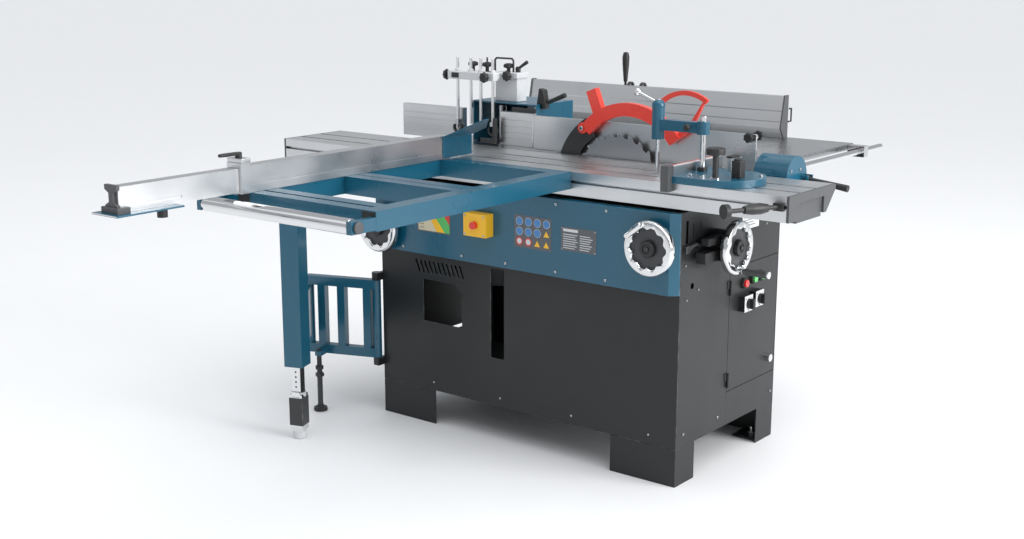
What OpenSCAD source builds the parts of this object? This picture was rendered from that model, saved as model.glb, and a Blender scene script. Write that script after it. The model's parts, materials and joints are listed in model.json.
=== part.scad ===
// Combination panel saw: sliding table saw with spindle moulder and surface planer.
// Origin: middle of the four floor bolts, at floor level. +X runs along the saw cut
// towards the operator's end, -Y towards the sliding carriage and outrigger, +Z up.

/* [Cabinet] */
// Height of the table surfaces above the floor
table_h = 870; // [850:5:900]
// Length of the cabinet along the saw cut
cab_l = 1118; // [1090:2:1300]
// Depth of the cabinet from front to rear
cab_w = 576; // [560:2:640]
// Distance from the cabinet's top edge up to the table surface
top_drop = 80; // [76:1:90]
// Height of the feet
foot_h = 112; // [80:1:130]
// Width of a foot along the cabinet
foot_l = 222; // [160:1:260]
// Width of a foot across the cabinet
foot_w = 103; // [95:1:140]
// Thickness of the cabinet's sheet steel
sheet = 3; // [2:0.5:4]
// Distance of each floor bolt from the cabinet's outer faces
bolt_in = 45; // [35:1:55]
// Radius of the floor bolt holes
bolt_r = 6.5; // [5:0.5:8]
// Height of the front control panel
panel_h = 230; // [210:1:260]
// Depth of the front control panel
panel_d = 25; // [20:1:30]

/* [Tables] */
// Thickness of the cast saw table
table_t = 25; // [20:1:30]
// Thickness of the cast planer tables
planer_t = 20; // [16:1:24]
// Depth of the planer tables from front to rear
planer_w = 485; // [430:1:520]
// Radius of the planer cutter block
cutter_r = 36; // [32:1:38]
// Radius of the spindle moulder's table opening
spindle_hole_r = 85; // [70:1:90]

/* [Sliding carriage] */
// Length of the sliding carriage
slide_l = 1878; // [1600:2:2100]
// Width of the sliding carriage
slide_w = 269; // [260:1:275]
// Height of the carriage's profile
slide_h = 70; // [66:1:72]
// Width of the guide rail inside the carriage
rail_w = 144; // [130:1:150]
// Height of the guide rail
rail_h = 55; // [50:1:56]

/* [Outrigger and crosscut fence] */
// Width of the outrigger along the carriage
out_w = 500; // [440:2:600]
// Reach of the outrigger from the carriage
out_reach = 805; // [700:5:900]
// Size of the outrigger's square tubes
beam = 50; // [40:1:50]
// Radius of the outrigger's roller
roller_r = 20; // [14:1:22]
// Width of the crosscut fence's profile
fence_w = 45; // [36:1:50]
// Height of the crosscut fence's profile
fence_h = 70; // [60:1:80]
// Length of the crosscut fence's extension beyond the fence
ext_out = 375; // [300:5:450]

/* [Saw unit] */
// Diameter of the saw blade
blade_d = 315; // [280:1:315]
// Width of the saw blade's teeth
blade_t = 3.2; // [2.6:0.2:3.6]
// Height of the blade above the table at rest
blade_up = 77; // [70:1:80]
// Number of teeth on the saw blade
teeth = 24; // [18:2:36]
// Diameter of the saw arbor
arbor_d = 30; // [25:1:30]

/* [Spindle moulder] */
// Diameter of the moulder spindle
spindle_d = 30; // [25:1:30]
// Outer diameter of the dust spigot on the hood
spigot_d = 100; // [80:1:110]

/* [Fences] */
// Length of the rip fence's plate
rip_l = 793; // [600:1:800]
// Height of the rip fence's plate
rip_h = 106; // [80:1:120]
// Length of the planer fence
tall_l = 1053; // [900:1:1100]
// Height of the planer fence
tall_h = 142; // [120:1:160]
// Radius of the rip fence's round guide bar
bar_r = 9; // [7:0.5:10]

/* [Handwheels] */
// Radius of the handwheels
wheel_r = 78; // [65:1:80]
// Diameter of the handwheel shafts
wheel_shaft_d = 20; // [16:1:22]

/* [Swing arm] */
// Length of the swing arm between its two pins
arm_l = 240; // [220:1:280]
// Length of the link from its pin to the column
link_l = 338; // [300:1:380]
// Size of the square column
column_w = 60; // [54:1:66]
// Size of the square leg inside the column
leg_w = 30; // [24:1:36]

/* [Clearances] */
// Radial clearance of running fits
fit = 0.05; // [0.02:0.01:0.08]
// Gap where a piece rests or slides on another
gap = 0.4; // [0.3:0.05:0.6]
// Gap under the feet of the arm and the leg
floor_gap = 1; // [0.5:0.5:2]

/* [Hidden] */
$fn = 48;

// Colours
charcoal = [0.20, 0.21, 0.22];
petrol = [0.05, 0.30, 0.42];
alu = [0.78, 0.79, 0.80];
iron = [0.62, 0.63, 0.64];
black = [0.06, 0.06, 0.06];
chrome = [0.86, 0.87, 0.88];
red = [0.88, 0.16, 0.14];
green = [0.20, 0.70, 0.25];
yellow = [0.95, 0.72, 0.10];

// Cabinet faces and levels
x1 = cab_l / 2;
y1 = cab_w / 2;
cab_top = table_h - top_drop;
panel_y = -y1 - panel_d;
panel_z = cab_top - panel_h;
table_bot = table_h - table_t;

// Service door
door_y = [-8, y1 - sheet - 2];
door_z = [215, 585];
door_pin = [x1 + 4.4, -9.5];
door_pin_r = 2;
door_knuckle_r = 4;
door_knuckle_h = 22;
door_hinge_z = [250, 530];
stem_r = 6;
button_r = 11;
bezel_h = 8;
stop_at = [71, 530];
start_at = [[125, 535], [175, 535]];
switch_at = [[69, 472], [136, 475]];
switch_box = 46;
switch_h = 21;
latch_at = [235, 265];

// Emergency stop
estop_at = [-120, cab_top - 104];
estop_box_d = 37;
estop_stem_r = 11;

// Handwheels
wheel_saw_at = [x1 - 68, cab_top - 97];
wheel_spindle_at = [-x1 + 38, cab_top - 160];
wheel_end_at = [-95, cab_top - 117];
shaft_r = wheel_shaft_d / 2;
boss_r = 22;
boss_h = 17;
lock_h = 53;
rim_w = 24;
rim_t = 15;

// Guide rail and carriage
slide_x = [-1000, slide_l - 1000];
cap_t = 8;
slide_y = [-20 - slide_w, -20];
slide_bot = table_h - slide_h;
rail_y = [-88 - rail_w, -88];
rail_top = cab_top + rail_h;
slot_y = [-215, -125];
slot_w = 12 + 2 * fit;
gauge_pin_r = 6;

// Outrigger
out_x = [-310, out_w - 310];
out_y = [slide_y[0] - gap - out_reach, slide_y[0] - gap];
out_z = [table_h - beam, table_h];
tube_t = 3;
member_w = 40;
roller_y = out_y[0] - 65;
roller_z = table_h - 30;
roller_x = [out_x[0] - 48, out_x[1] - 18];
roller_pin_r = 6;
bracket_t = 14;

// Crosscut fence
fence_z = table_h + gap;
fence_x = [out_x[0] + 10, out_x[0] + 10 + fence_w];
fence_mid = (fence_x[0] + fence_x[1]) / 2;
fence_y = [out_y[0] - 35, -300];
fence_wall = 3;
pivot_y = -320;
pivot_r = 6;
collar_l = 32;
collar_t = 5;
ext_y = [fence_y[0] - ext_out, -700];

// Mitre gauge
gauge_pin = [686, slot_y[0]];
gauge_z = table_h + gap;
gauge_t = 20;
gauge_x = 528;
gauge_mid = -188;
gauge_r = 108;
column_at = [546, -165];
column_r = 8;
column_top = table_h + 172;
arm_z = [table_h + 122, table_h + 158];
screw_x = 400;
screw_r = 6;

// Saw unit
blade_x = 150;
blade_y = 8;
blade_r = blade_d / 2;
arbor_z = table_h + blade_up - blade_r;
arbor_r = arbor_d / 2;
knife_t = 2.4;
knife_r = [165, 229];
flange_r = 35;
guide_r = 14;
guide_dx = 40;
guide_y = 130;
block_y = [25, 150];
block_z = [arbor_z - 70, arbor_z + 40];
pulley_y = [160, 185];
pulley_r = 30;
motor_pulley_r = 40;
motor_r = 70;
motor_z = arbor_z - 236;
motor_shaft_r = 12;
belt_t = 6;
belt_gap = 0.3;
guard_pin = [25, arbor_z + 165];
guard_pin_r = 5;
guard_w = 22;
guard_wall = 3;

// Spindle moulder
spindle_at = [-410, 150];
quill_r = 45;
quill_shaft_r = 20;
quill_z = [580, 838];
spindle_motor_r = 75;
spindle_motor_z = [380, 580];
spindle_top = table_h + 115;
hood_x = [-465, -200];
hood_y = [62, 262];
hood_h = 135;
hood_t = 5;
spigot_z = table_h + 70;
spigot_x = -350;
spigot_l = 45;

// Planer
planer_y = [y1 + 12, y1 + 12 + planer_w];
cutter_z = table_h - cutter_r;
cutter_pin_r = 15;
lip = cutter_r + 9;
pedestal_t = 14;
base_t = 12;
planer_half = 250;

// Rip fence
bar_x = x1 + 41;
bar_z = table_h - 20;
bar_y = [-12, 905];
rip_y = 28;
rip_t = 6;
rip_x = [bar_x + 6 - rip_l, bar_x + 6];
head_x = [bar_x - 25, bar_x + 112];
head_y = [16, 140];
lever_at = [head_x[1] + 12, 118];
lever_pin_r = 5;
ear_out = 18;
ear_t = 7;

// Planer fence
tall_x = [325 - tall_l, 325];
tall_y = planer_y[0] + 415;
tall_back = tall_y + 43;
tall_bar_x = [-235, -205];
tall_bar_z = [table_h + 6, table_h + 26];
tall_bar_l = 165;
tall_lever_at = [-335, tall_back + 19, table_h + 120];
tall_pin_r = 4;

// Swing arm
arm_pin = [-x1 - 16, -y1 - 12];
arm_turn = 199.8;
link_turn = -51.2;
arm_pin_r = 8;
arm_barrel_r = 14;
arm_w = 30;
arm_z0 = 185;
arm_z1 = 445;
arm_bar = 30;
link_t = 12;
column_wall = 4;
column_z = [235, cab_top];
leg_bush = 40;
lug_at = [185, 59];
lug_z = [190, 205];
foot_rod_r = 8;
foot_plate_r = 22;
arm_pin2 = [arm_pin[0] + arm_l * cos(arm_turn), arm_pin[1] + arm_l * sin(arm_turn)];

// A box between two corners given as spans
module span(x, y, z) {
  translate([x[0], y[0], z[0]]) cube([x[1] - x[0], y[1] - y[0], z[1] - z[0]]);
}
// Round rods along each axis; the axis direction's value is a span
module rod_x(r, x, y, z) {
  translate([x[0], y, z]) rotate([0, 90, 0]) cylinder(r = r, h = x[1] - x[0]);
}
module rod_y(r, x, y, z) {
  translate([x, y[0], z]) rotate([-90, 0, 0]) cylinder(r = r, h = y[1] - y[0]);
}
module rod_z(r, x, y, z) {
  translate([x, y, z[0]]) cylinder(r = r, h = z[1] - z[0]);
}
// A square tube along X or Y with open ends
module tube_x(x, y, z, t) {
  difference() {
    span(x, y, z);
    span([x[0] - 1, x[1] + 1], [y[0] + t, y[1] - t], [z[0] + t, z[1] - t]);
  }
}
module tube_y(x, y, z, t) {
  difference() {
    span(x, y, z);
    span([x[0] + t, x[1] - t], [y[0] - 1, y[1] + 1], [z[0] + t, z[1] - t]);
  }
}
// A profile drawn across the machine (first value Y, second Z), run along X
module along_x(x) {
  translate([x[0], 0, 0]) rotate([90, 0, 90]) linear_extrude(x[1] - x[0]) children();
}
// A profile drawn along the machine (first value X, second Z), run along Y
module along_y(y) {
  translate([0, y[1], 0]) rotate([90, 0, 0]) linear_extrude(y[1] - y[0]) children();
}

// Front sheet with the window, the long slot and the cooling louvres
module cabinet_front() {
  louvre_n = 11;
  louvre_pitch = 18;
  window_x = [-382, -224];
  window_z = [338, 474];
  corner = 26;
  color(charcoal) difference() {
    span([-x1, x1], [-y1, -y1 + sheet], [foot_h, cab_top]);
    along_y([-y1 - 1, -y1 + sheet + 1]) polygon([
      [window_x[0], window_z[0]], [window_x[1], window_z[0]],
      [window_x[1], window_z[1] - corner], [window_x[1] - corner, window_z[1]],
      [window_x[0], window_z[1]]
    ]);
    span([-108, -57], [-y1 - 1, -y1 + sheet + 1], [265, 546]);
    for (i = [0:louvre_n - 1])
      translate([-400 + i * louvre_pitch, -y1 - 1, 494])
        rotate([0, -22, 0]) cube([7, sheet + 2, 42]);
    for (p = [wheel_saw_at, wheel_spindle_at])
      rod_y(shaft_r + 4, p[0], [-y1 - 1, -y1 + sheet + 1], p[1]);
  }
}

// End and rear sheets, each its own solid, with the door's and the arm's hinge ears
module cabinet_shell() {
  y_in = [-y1 + sheet + gap, y1 - sheet - gap];
  x_in = [x1 - sheet, x1];
  color(charcoal) {
    difference() {
      span([-x1, -x1 + sheet], y_in, [foot_h, cab_top]);
      span([-x1 - 1, -x1 + sheet + 1], [-70, 150], [205, 415]);
    }
    difference() {
      span([-x1, x1], [y1 - sheet, y1], [foot_h, cab_top]);
      span([-480, -260], [y1 - sheet - 1, y1 + 1], [150, 370]);
    }
    difference() {
      union() {
        span(x_in, [y_in[0], door_y[0] - 2], [foot_h, cab_top]);
        for (z = door_hinge_z) {
          span([x1 - 1, x1 + 2.4], [door_pin[1] - 15, door_y[0] - 3], [z, z + door_knuckle_h]);
          span([x1 + gap, x1 + 2.4], [door_pin[1] - 15, door_pin[1]], [z, z + door_knuckle_h]);
          rod_z(door_knuckle_r, door_pin[0], door_pin[1], [z, z + door_knuckle_h]);
          rod_z(door_pin_r, door_pin[0], door_pin[1], [z - door_knuckle_h, z + 1]);
        }
      }
      rod_x(shaft_r + 4, [x1 - sheet - 1, x1 + 1], wheel_end_at[0], wheel_end_at[1]);
      rod_x(9, [x1 - sheet - 1, x1 + 1], -222, 576);
      span([x1 - sheet - 1, x1 + 1], [-262, -250], [700, 765]);
      span([x1 - sheet - 1, x1 + 1], [-226, -222], [712, 752]);
      span([x1 - sheet - 1, x1 + 1], [-185, -181], [720, 752]);
    }
    span(x_in, [door_y[0] - 2 + gap, y_in[1]], [door_z[1] + 2, cab_top]);
    span(x_in, [door_y[0] - 2 + gap, y_in[1]], [foot_h, door_z[0] - 2]);
    for (z = [[arm_z0 - 25, arm_z0 - gap], [arm_z1 + gap, arm_z1 + 25]])
      difference() {
        union() {
          span([arm_pin[0], -x1 - gap], [arm_pin[1] - 15, arm_pin[1] + 30], z);
          rod_z(15, arm_pin[0], arm_pin[1], z);
        }
        rod_z(arm_pin_r + fit, arm_pin[0], arm_pin[1], [z[0] - 1, z[1] + 1]);
      }
  }
}

// Four folded corner feet with a bolted base plate in each
module cabinet_feet() {
  plate = 6;
  wall = 4;
  side = 90;
  color(charcoal) for (sx = [0, 1], sy = [0, 1])
    mirror([sx, 0, 0]) mirror([0, sy, 0]) difference() {
      union() {
        span([x1 - foot_l, x1], [y1 - wall, y1], [0, foot_h - gap]);
        span([x1 - wall, x1], [y1 - foot_w, y1], [0, foot_h - gap]);
        span([x1 - side, x1], [y1 - side, y1], [0, plate]);
      }
      rod_z(bolt_r, x1 - bolt_in, y1 - bolt_in, [-1, plate + 1]);
    }
}

// Deck beams, table bearers, the saw unit's two guide rods and the quill's sleeve
module table_bearers() {
  deck = 6;
  x_in = x1 - sheet - gap;
  color(charcoal) {
    span([-x_in, x_in], [-y1 + sheet + gap, rail_y[1] + 26], [cab_top - deck, cab_top]);
    span([-x_in, x_in], [y1 - 56, y1 - sheet - gap], [cab_top - deck, cab_top]);
    for (s = [0, 1])
      mirror([s, 0, 0]) span([x_in - 40, x_in], [-10, y1 - 56 - gap], [cab_top - deck, table_bot]);
    for (s = [-1, 1])
      rod_z(guide_r, blade_x + s * guide_dx, guide_y, [block_z[0] - 62, table_bot]);
    difference() {
      rod_z(spindle_hole_r + 15, spindle_at[0], spindle_at[1], [table_bot - 85, table_bot]);
      rod_z(quill_r + fit, spindle_at[0], spindle_at[1], [table_bot - 86, table_bot + 1]);
    }
  }
}

// Blue control panel: a shallow tray with the bushes of both front handwheels
module front_panel() {
  cut = 22;
  t = sheet;
  depth = panel_d - gap;
  color(petrol) difference() {
    union() {
      difference() {
        translate([0, 0, panel_z]) linear_extrude(panel_h) polygon([
          [-x1, panel_y], [x1 - cut, panel_y], [x1, panel_y + cut],
          [x1, panel_y + depth], [-x1, panel_y + depth]
        ]);
        span([-x1 + t, x1 - cut - t], [panel_y + t, panel_y + depth + 1],
          [panel_z + t, cab_top - t]);
      }
      for (p = [wheel_saw_at, wheel_spindle_at])
        rod_y(boss_r, p[0], [panel_y - boss_h, panel_y + depth], p[1]);
    }
    for (p = [wheel_saw_at, wheel_spindle_at])
      rod_y(shaft_r + fit, p[0], [panel_y - boss_h - 1, panel_y + depth + 1], p[1]);
  }
}

// Yellow box of the emergency stop, and its mushroom button
module estop_box() {
  color(yellow) difference() {
    span([estop_at[0] - 43, estop_at[0] + 43], [panel_y - estop_box_d, panel_y],
      [estop_at[1] - 35, estop_at[1] + 35]);
    rod_y(estop_stem_r + gap, estop_at[0], [panel_y - estop_box_d - 1, panel_y - 15],
      estop_at[1]);
  }
}
module estop_button() {
  face = panel_y - estop_box_d;
  color(red) {
    rod_y(estop_stem_r, estop_at[0], [face - 14, face + 12], estop_at[1]);
    rod_y(20, estop_at[0], [face - 24, face - 10], estop_at[1]);
  }
}

// Fixed rail that the carriage rides on: a channel open below, closed at its ends
module guide_rail() {
  t = 6;
  rail_x = [slide_x[0] + cap_t, slide_x[1] - cap_t];
  color(iron) difference() {
    span(rail_x, rail_y, [cab_top, rail_top]);
    span([rail_x[0] + t, rail_x[1] - t], [rail_y[0] + t, rail_y[1] - t],
      [cab_top - 1, rail_top - t]);
  }
}

// Outer outline of the carriage's profile
module carriage_outline() {
  y0 = slide_y[0];
  y2 = slide_y[1];
  polygon([
    [y0, slide_bot], [y0, table_h], [y2, table_h], [y2, table_h - 14],
    [rail_y[1] + 16, slide_bot]
  ]);
}
// Space that the guide rail needs
module rail_space(c) {
  translate([rail_y[0] - c, slide_bot - 1])
    square([rail_w + 2 * c, rail_top - slide_bot + 1 + c]);
}
module carriage() {
  wall = 4;
  slot_d = 12;
  front_slot_z = table_h - 29;
  color(alu) along_x([slide_x[0] + cap_t, slide_x[1] - cap_t]) difference() {
    carriage_outline();
    rail_space(gap);
    translate([slide_y[0] + 18, slide_bot + wall])
      square([rail_y[0] - gap - wall - slide_y[0] - 18, slide_h - slot_d - 2 * wall]);
    for (y = slot_y)
      translate([y - slot_w / 2, table_h - slot_d]) square([slot_w, slot_d + 1]);
    for (y = [-262, -170, -78, -48])
      translate([y, table_h - 1.5]) square([2, 3]);
    translate([slide_y[0] - 1, front_slot_z - 4]) square([13, 8]);
    translate([slide_y[0] + 5, front_slot_z - 8]) square([8, 16]);
  }
}
module carriage_caps() {
  color(charcoal) for (x = [slide_x[0], slide_x[1] - cap_t])
    along_x([x, x + cap_t]) difference() {
      carriage_outline();
      rail_space(gap);
    }
}

// Grip that pushes the carriage, standing out from its front face
module push_handle() {
  foot = [slide_x[1] - 28, slide_y[0] - gap, table_h - 29];
  reach = 172;
  color(black) translate(foot) rotate([0, 0, -116.7]) {
    translate([6, 0, 0]) rotate([0, 90, 0]) cylinder(r = 6, h = reach - 16);
    translate([38, 0, 0]) rotate([0, 90, 0]) rotate_extrude() polygon([
      [0, 0], [11, 0], [15, 22], [14, 48], [10, 72], [0, 72]
    ]);
    translate([reach - 14, 0, 0]) rotate([0, 90, 0]) cylinder(r = 19, h = 14);
  }
  color(black) span([foot[0] - 14, foot[0] + 14], [foot[1] - 10, foot[1]],
    [foot[2] - 10, foot[2] + 10]);
}

// Saw table with the blade's slot and the spindle's opening
module saw_table() {
  color(iron) difference() {
    span([-x1, x1], [-14, y1], [table_bot, table_h]);
    span([blade_x - knife_r[1] - 3, blade_x + blade_r + 12],
      [blade_y - 7, blade_y + 7], [table_bot - 1, table_h + 1]);
    rod_z(spindle_hole_r, spindle_at[0], spindle_at[1], [table_bot - 1, table_h + 1]);
  }
}

// Infeed and outfeed tables of the planer
module planer_tables() {
  color(iron) for (s = [0, 1])
    mirror([s, 0, 0]) span([lip, x1], planer_y, [table_h - planer_t, table_h]);
}
// Planer bed: base plate, cutter pedestals, ribs, and the bracket of the planer fence
module planer_body() {
  base_z = cab_top - 20;
  top = table_h - planer_t;
  color(iron) {
    span([-planer_half, planer_half], [y1 + gap, planer_y[1]], [base_z - base_t, base_z]);
    for (y = [planer_y[0], planer_y[1] - pedestal_t])
      difference() {
        span([-lip + gap, lip - gap], [y, y + pedestal_t], [base_z + gap, table_h - 2]);
        rod_y(cutter_pin_r + fit, 0, [y - 1, y + pedestal_t + 1], cutter_z);
      }
    for (s = [0, 1], x = [60, planer_half - 10])
      mirror([s, 0, 0]) span([x, x + 10], planer_y, [base_z + gap, top]);
    difference() {
      span([tall_bar_x[0] - 18, tall_bar_x[1] + 18], [planer_y[1] + gap, planer_y[1] + 30],
        [top, table_h + 46]);
      span([tall_bar_x[0] - gap, tall_bar_x[1] + gap], [planer_y[1] - 1, planer_y[1] + 31],
        [tall_bar_z[0] - gap, tall_bar_z[1] + gap]);
    }
  }
}
module planer_cutter() {
  color(chrome) {
    rod_y(cutter_r, 0, [planer_y[0] + pedestal_t + 2, planer_y[1] - pedestal_t - 2], cutter_z);
    rod_y(cutter_pin_r, 0, [planer_y[0] + 1, planer_y[1] - 1], cutter_z);
  }
}

// Lock of the tilt wheel: a round body with two arms
module rise_lock() {
  y = wheel_end_at[0];
  z = wheel_end_at[1];
  color(black) difference() {
    union() {
      rod_x(46, [x1 + gap, x1 + lock_h], y, z);
      span([x1 + 20, x1 + 42], [y - 118, y - 30], [z + 18, z + 38]);
      span([x1 + 12, x1 + 42], [y - 132, y - 30], [z - 30, z]);
    }
    rod_x(shaft_r + fit, [x1, x1 + lock_h + 1], y, z);
  }
}

// Handwheel standing on its shaft along +Z: hub, web, rim and crank handle
module handwheel(shaft_l, folded) {
  grip_r = 9;
  crank_at = wheel_r - rim_t / 2 - 4;
  rotate_extrude($fn = 64) translate([wheel_r - rim_t, 0]) square([rim_t, rim_w]);
  translate([0, 0, 6]) cylinder(r = wheel_r - rim_t + 1, h = 9);
  cylinder(r = 24, h = rim_w + 2);
  translate([0, 0, -shaft_l]) cylinder(r = shaft_r, h = shaft_l + 1);
  if (folded)
    translate([-56, 38, rim_w + grip_r - 2]) rotate([0, 0, 38]) rotate([0, 90, 0])
      cylinder(r = grip_r, h = 62);
  else
    translate([0, -crank_at, rim_w - 1]) cylinder(r1 = grip_r - 3, r2 = grip_r + 2, h = 92);
}
module wheel_saw() {
  color(chrome) translate([wheel_saw_at[0], panel_y - boss_h - gap, wheel_saw_at[1]])
    rotate([90, 0, 0]) handwheel(95, true);
}
module wheel_spindle() {
  color(chrome) translate([wheel_spindle_at[0], panel_y - boss_h - gap, wheel_spindle_at[1]])
    rotate([90, 0, 0]) handwheel(95, true);
}
module wheel_end() {
  color(chrome) translate([x1 + lock_h + gap, wheel_end_at[0], wheel_end_at[1]])
    rotate([90, 0, 90]) handwheel(100, false);
}

// Service door with the push buttons' bezels and the rotary switches' housings
module service_door() {
  x = [x1 - sheet, x1];
  color(charcoal) difference() {
    union() {
      span(x, door_y, door_z);
      for (p = concat([stop_at], start_at))
        rod_x(button_r + 4, [x1 - 1, x1 + bezel_h], p[0], p[1]);
      for (p = switch_at)
        span([x1 - 1, x1 + switch_h], [p[0] - switch_box / 2, p[0] + switch_box / 2],
          [p[1] - switch_box / 2, p[1] + switch_box / 2]);
      for (z = door_hinge_z) {
        rod_z(door_knuckle_r, door_pin[0], door_pin[1], [z - door_knuckle_h, z - gap]);
        span([x1 + gap, x1 + 2.4], [door_pin[1], 6], [z - door_knuckle_h, z - gap]);
        span([x1 - 1, x1 + 2.4], [door_y[0], 6], [z - door_knuckle_h, z - gap]);
      }
    }
    for (z = door_hinge_z)
      rod_z(door_pin_r + fit, door_pin[0], door_pin[1], [z - door_knuckle_h - 1, z + 1]);
    for (p = concat([stop_at], start_at)) {
      rod_x(stem_r + gap, [x1 - sheet - 1, x1 + 2], p[0], p[1]);
      rod_x(button_r + gap, [x1 + 1, x1 + bezel_h + 1], p[0], p[1]);
    }
    for (p = switch_at)
      rod_x(stem_r + fit, [x1 - sheet - 1, x1 + switch_h + 1], p[0], p[1]);
    rod_x(stem_r + fit, [x1 - sheet - 1, x1 + 1], latch_at[0], latch_at[1]);
  }
}
module push_button(p) {
  rod_x(stem_r, [x1 - 12, x1 + 6], p[0], p[1]);
  rod_x(button_r, [x1 + 5.5, x1 + 15], p[0], p[1]);
}
module stop_button() {
  color(red) push_button(stop_at);
}
module start_button_saw() {
  color(green) push_button(start_at[0]);
}
module start_button_spindle() {
  color(green) push_button(start_at[1]);
}
module rotary_switch(p) {
  face = x1 + switch_h + gap;
  rod_x(stem_r, [x1 - 10, face + 1], p[0], p[1]);
  rod_x(15, [face, face + 8], p[0], p[1]);
  span([face + 7, face + 19], [p[0] - 5, p[0] + 5], [p[1] - 15, p[1] + 15]);
}
module switch_saw() {
  color(black) rotary_switch(switch_at[0]);
}
module switch_spindle() {
  color(black) rotary_switch(switch_at[1]);
}
module door_latch() {
  y = latch_at[0];
  z = latch_at[1];
  color(chrome) {
    rod_x(12, [x1 + gap, x1 + 15], y, z);
    rod_x(stem_r, [x1 - sheet - 6, x1 + 1], y, z);
    span([x1 - sheet - 8, x1 - sheet - gap], [y - 8, y + 30], [z - 8, z + 8]);
  }
}

// Side beams of the outrigger; the left one holds the crosscut fence's pivot
module outrigger_sides() {
  color(petrol) {
    difference() {
      tube_y([out_x[0], out_x[0] + beam], out_y, out_z, tube_t);
      rod_z(pivot_r + fit, fence_mid, pivot_y, [out_z[0] - 1, out_z[1] + 1]);
    }
    tube_y([out_x[1] - beam, out_x[1]], out_y, out_z, tube_t);
  }
}
// Cross members between the side beams, and the roller's end brackets
module outrigger_members() {
  x = [out_x[0] + beam + gap, out_x[1] - beam - gap];
  mid = (out_y[0] + out_y[1]) / 2 - 15;
  outer = out_y[0];
  inner = out_y[1];
  bracket_z = [roller_z - 16, roller_z + 16];
  left = roller_x[0] - gap - bracket_t;
  color(petrol) {
    for (y = [inner - beam, mid + 2, mid - member_w - 2, outer + member_w + 10, outer])
      tube_x(x, [y, y + (y > inner - beam - 1 ? beam : member_w)], out_z, tube_t);
    difference() {
      span([roller_x[1] + gap, out_x[1]], [roller_y - 20, outer - gap], bracket_z);
      rod_x(roller_pin_r + fit, [roller_x[1], out_x[1] + 1], roller_y, roller_z);
    }
    difference() {
      union() {
        span([left, left + bracket_t], [roller_y - 20, outer + 40], bracket_z);
        span([left, out_x[0] - gap], [outer + 5, outer + 40], bracket_z);
      }
      rod_x(roller_pin_r + fit, [left - 1, left + bracket_t + 1], roller_y, roller_z);
    }
  }
}
module roller() {
  color(chrome) {
    rod_x(roller_r, roller_x, roller_y, roller_z);
    rod_x(roller_pin_r, [roller_x[0] - bracket_t, roller_x[1] + bracket_t], roller_y, roller_z);
  }
}

// Main profile of the crosscut fence with its outer collar and pivot pin
module crosscut_fence() {
  z = [fence_z, fence_z + fence_h];
  c = collar_t;
  color(alu) {
    difference() {
      union() {
        span(fence_x, fence_y, z);
        span([fence_x[0] - c, fence_x[1] + c], [fence_y[0] - 1, fence_y[0] + collar_l],
          [z[0], z[1] + 2 * c]);
      }
      span([fence_x[0] + fence_wall, fence_x[1] - fence_wall], [fence_y[0] - 2, fence_y[1] - 4],
        [z[0] + fence_wall, z[1] - fence_wall]);
      span([fence_x[1] - 1.5, fence_x[1] + 1], [fence_y[0] + collar_l + 1, fence_y[1] + 1],
        [z[0] + 20, z[0] + 25]);
    }
    rod_z(pivot_r, fence_mid, pivot_y, [out_z[0], fence_z + 1]);
  }
}
module stop_lever() {
  z = fence_z + fence_h + 2 * collar_t + gap;
  y = fence_y[0] + collar_l / 2;
  color(black) {
    rod_z(9, fence_mid, y, [z, z + 14]);
    span([fence_mid - 7, fence_mid + 7], [y - 62, y], [z + 6, z + 15]);
  }
}
// Bent guard sheet at the inner end of the crosscut fence
module fence_guard() {
  t = 3;
  x = fence_x[1];
  z = fence_z + 3;
  reach = 160;
  rise = 66;
  fold = 60;
  color(petrol) intersection() {
    along_y([pivot_y - 15, pivot_y + 120]) polygon([
      [x, z], [x + t, z], [x + t, z + fold], [x + reach, z + fold + rise],
      [x + reach - 1, z + fold + rise + t], [x, z + fold + t + 2]
    ]);
    translate([0, 0, table_h]) linear_extrude(200) polygon([
      [x, pivot_y - 15], [x + reach, pivot_y - 15], [x + reach, pivot_y + 10],
      [x + 60, pivot_y + 120], [x, pivot_y + 120]
    ]);
  }
}
// Telescopic extension with its end cap, and the small plate and knob below its end
module fence_extension() {
  c = fence_wall + gap;
  x = [fence_x[0] + c, fence_x[1] - c];
  z = [fence_z + c, fence_z + fence_h - c];
  end = ext_y[0];
  color(alu) {
    difference() {
      span(x, ext_y, z);
      span([x[0] + 3, x[1] - 3], [end + 9, ext_y[1] + 1], [z[0] + 3, z[1] - 3]);
      span([x[1] - 2, x[1] + 1], [end + 8, fence_y[0] - 1 - ext_out / 2], [z[0] + 14, z[0] + 19]);
    }
    span([fence_x[0] - 8, fence_x[1] + 8], [end - 12, end + 22], [fence_z, fence_z + 16]);
    span([fence_mid - 48, fence_mid + 48], [end - 30, end + 170], [fence_z - 0.2, fence_z + 3]);
    rod_z(13, fence_mid + 26, end + 120, [fence_z - 22, fence_z + 1]);
  }
}

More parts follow.
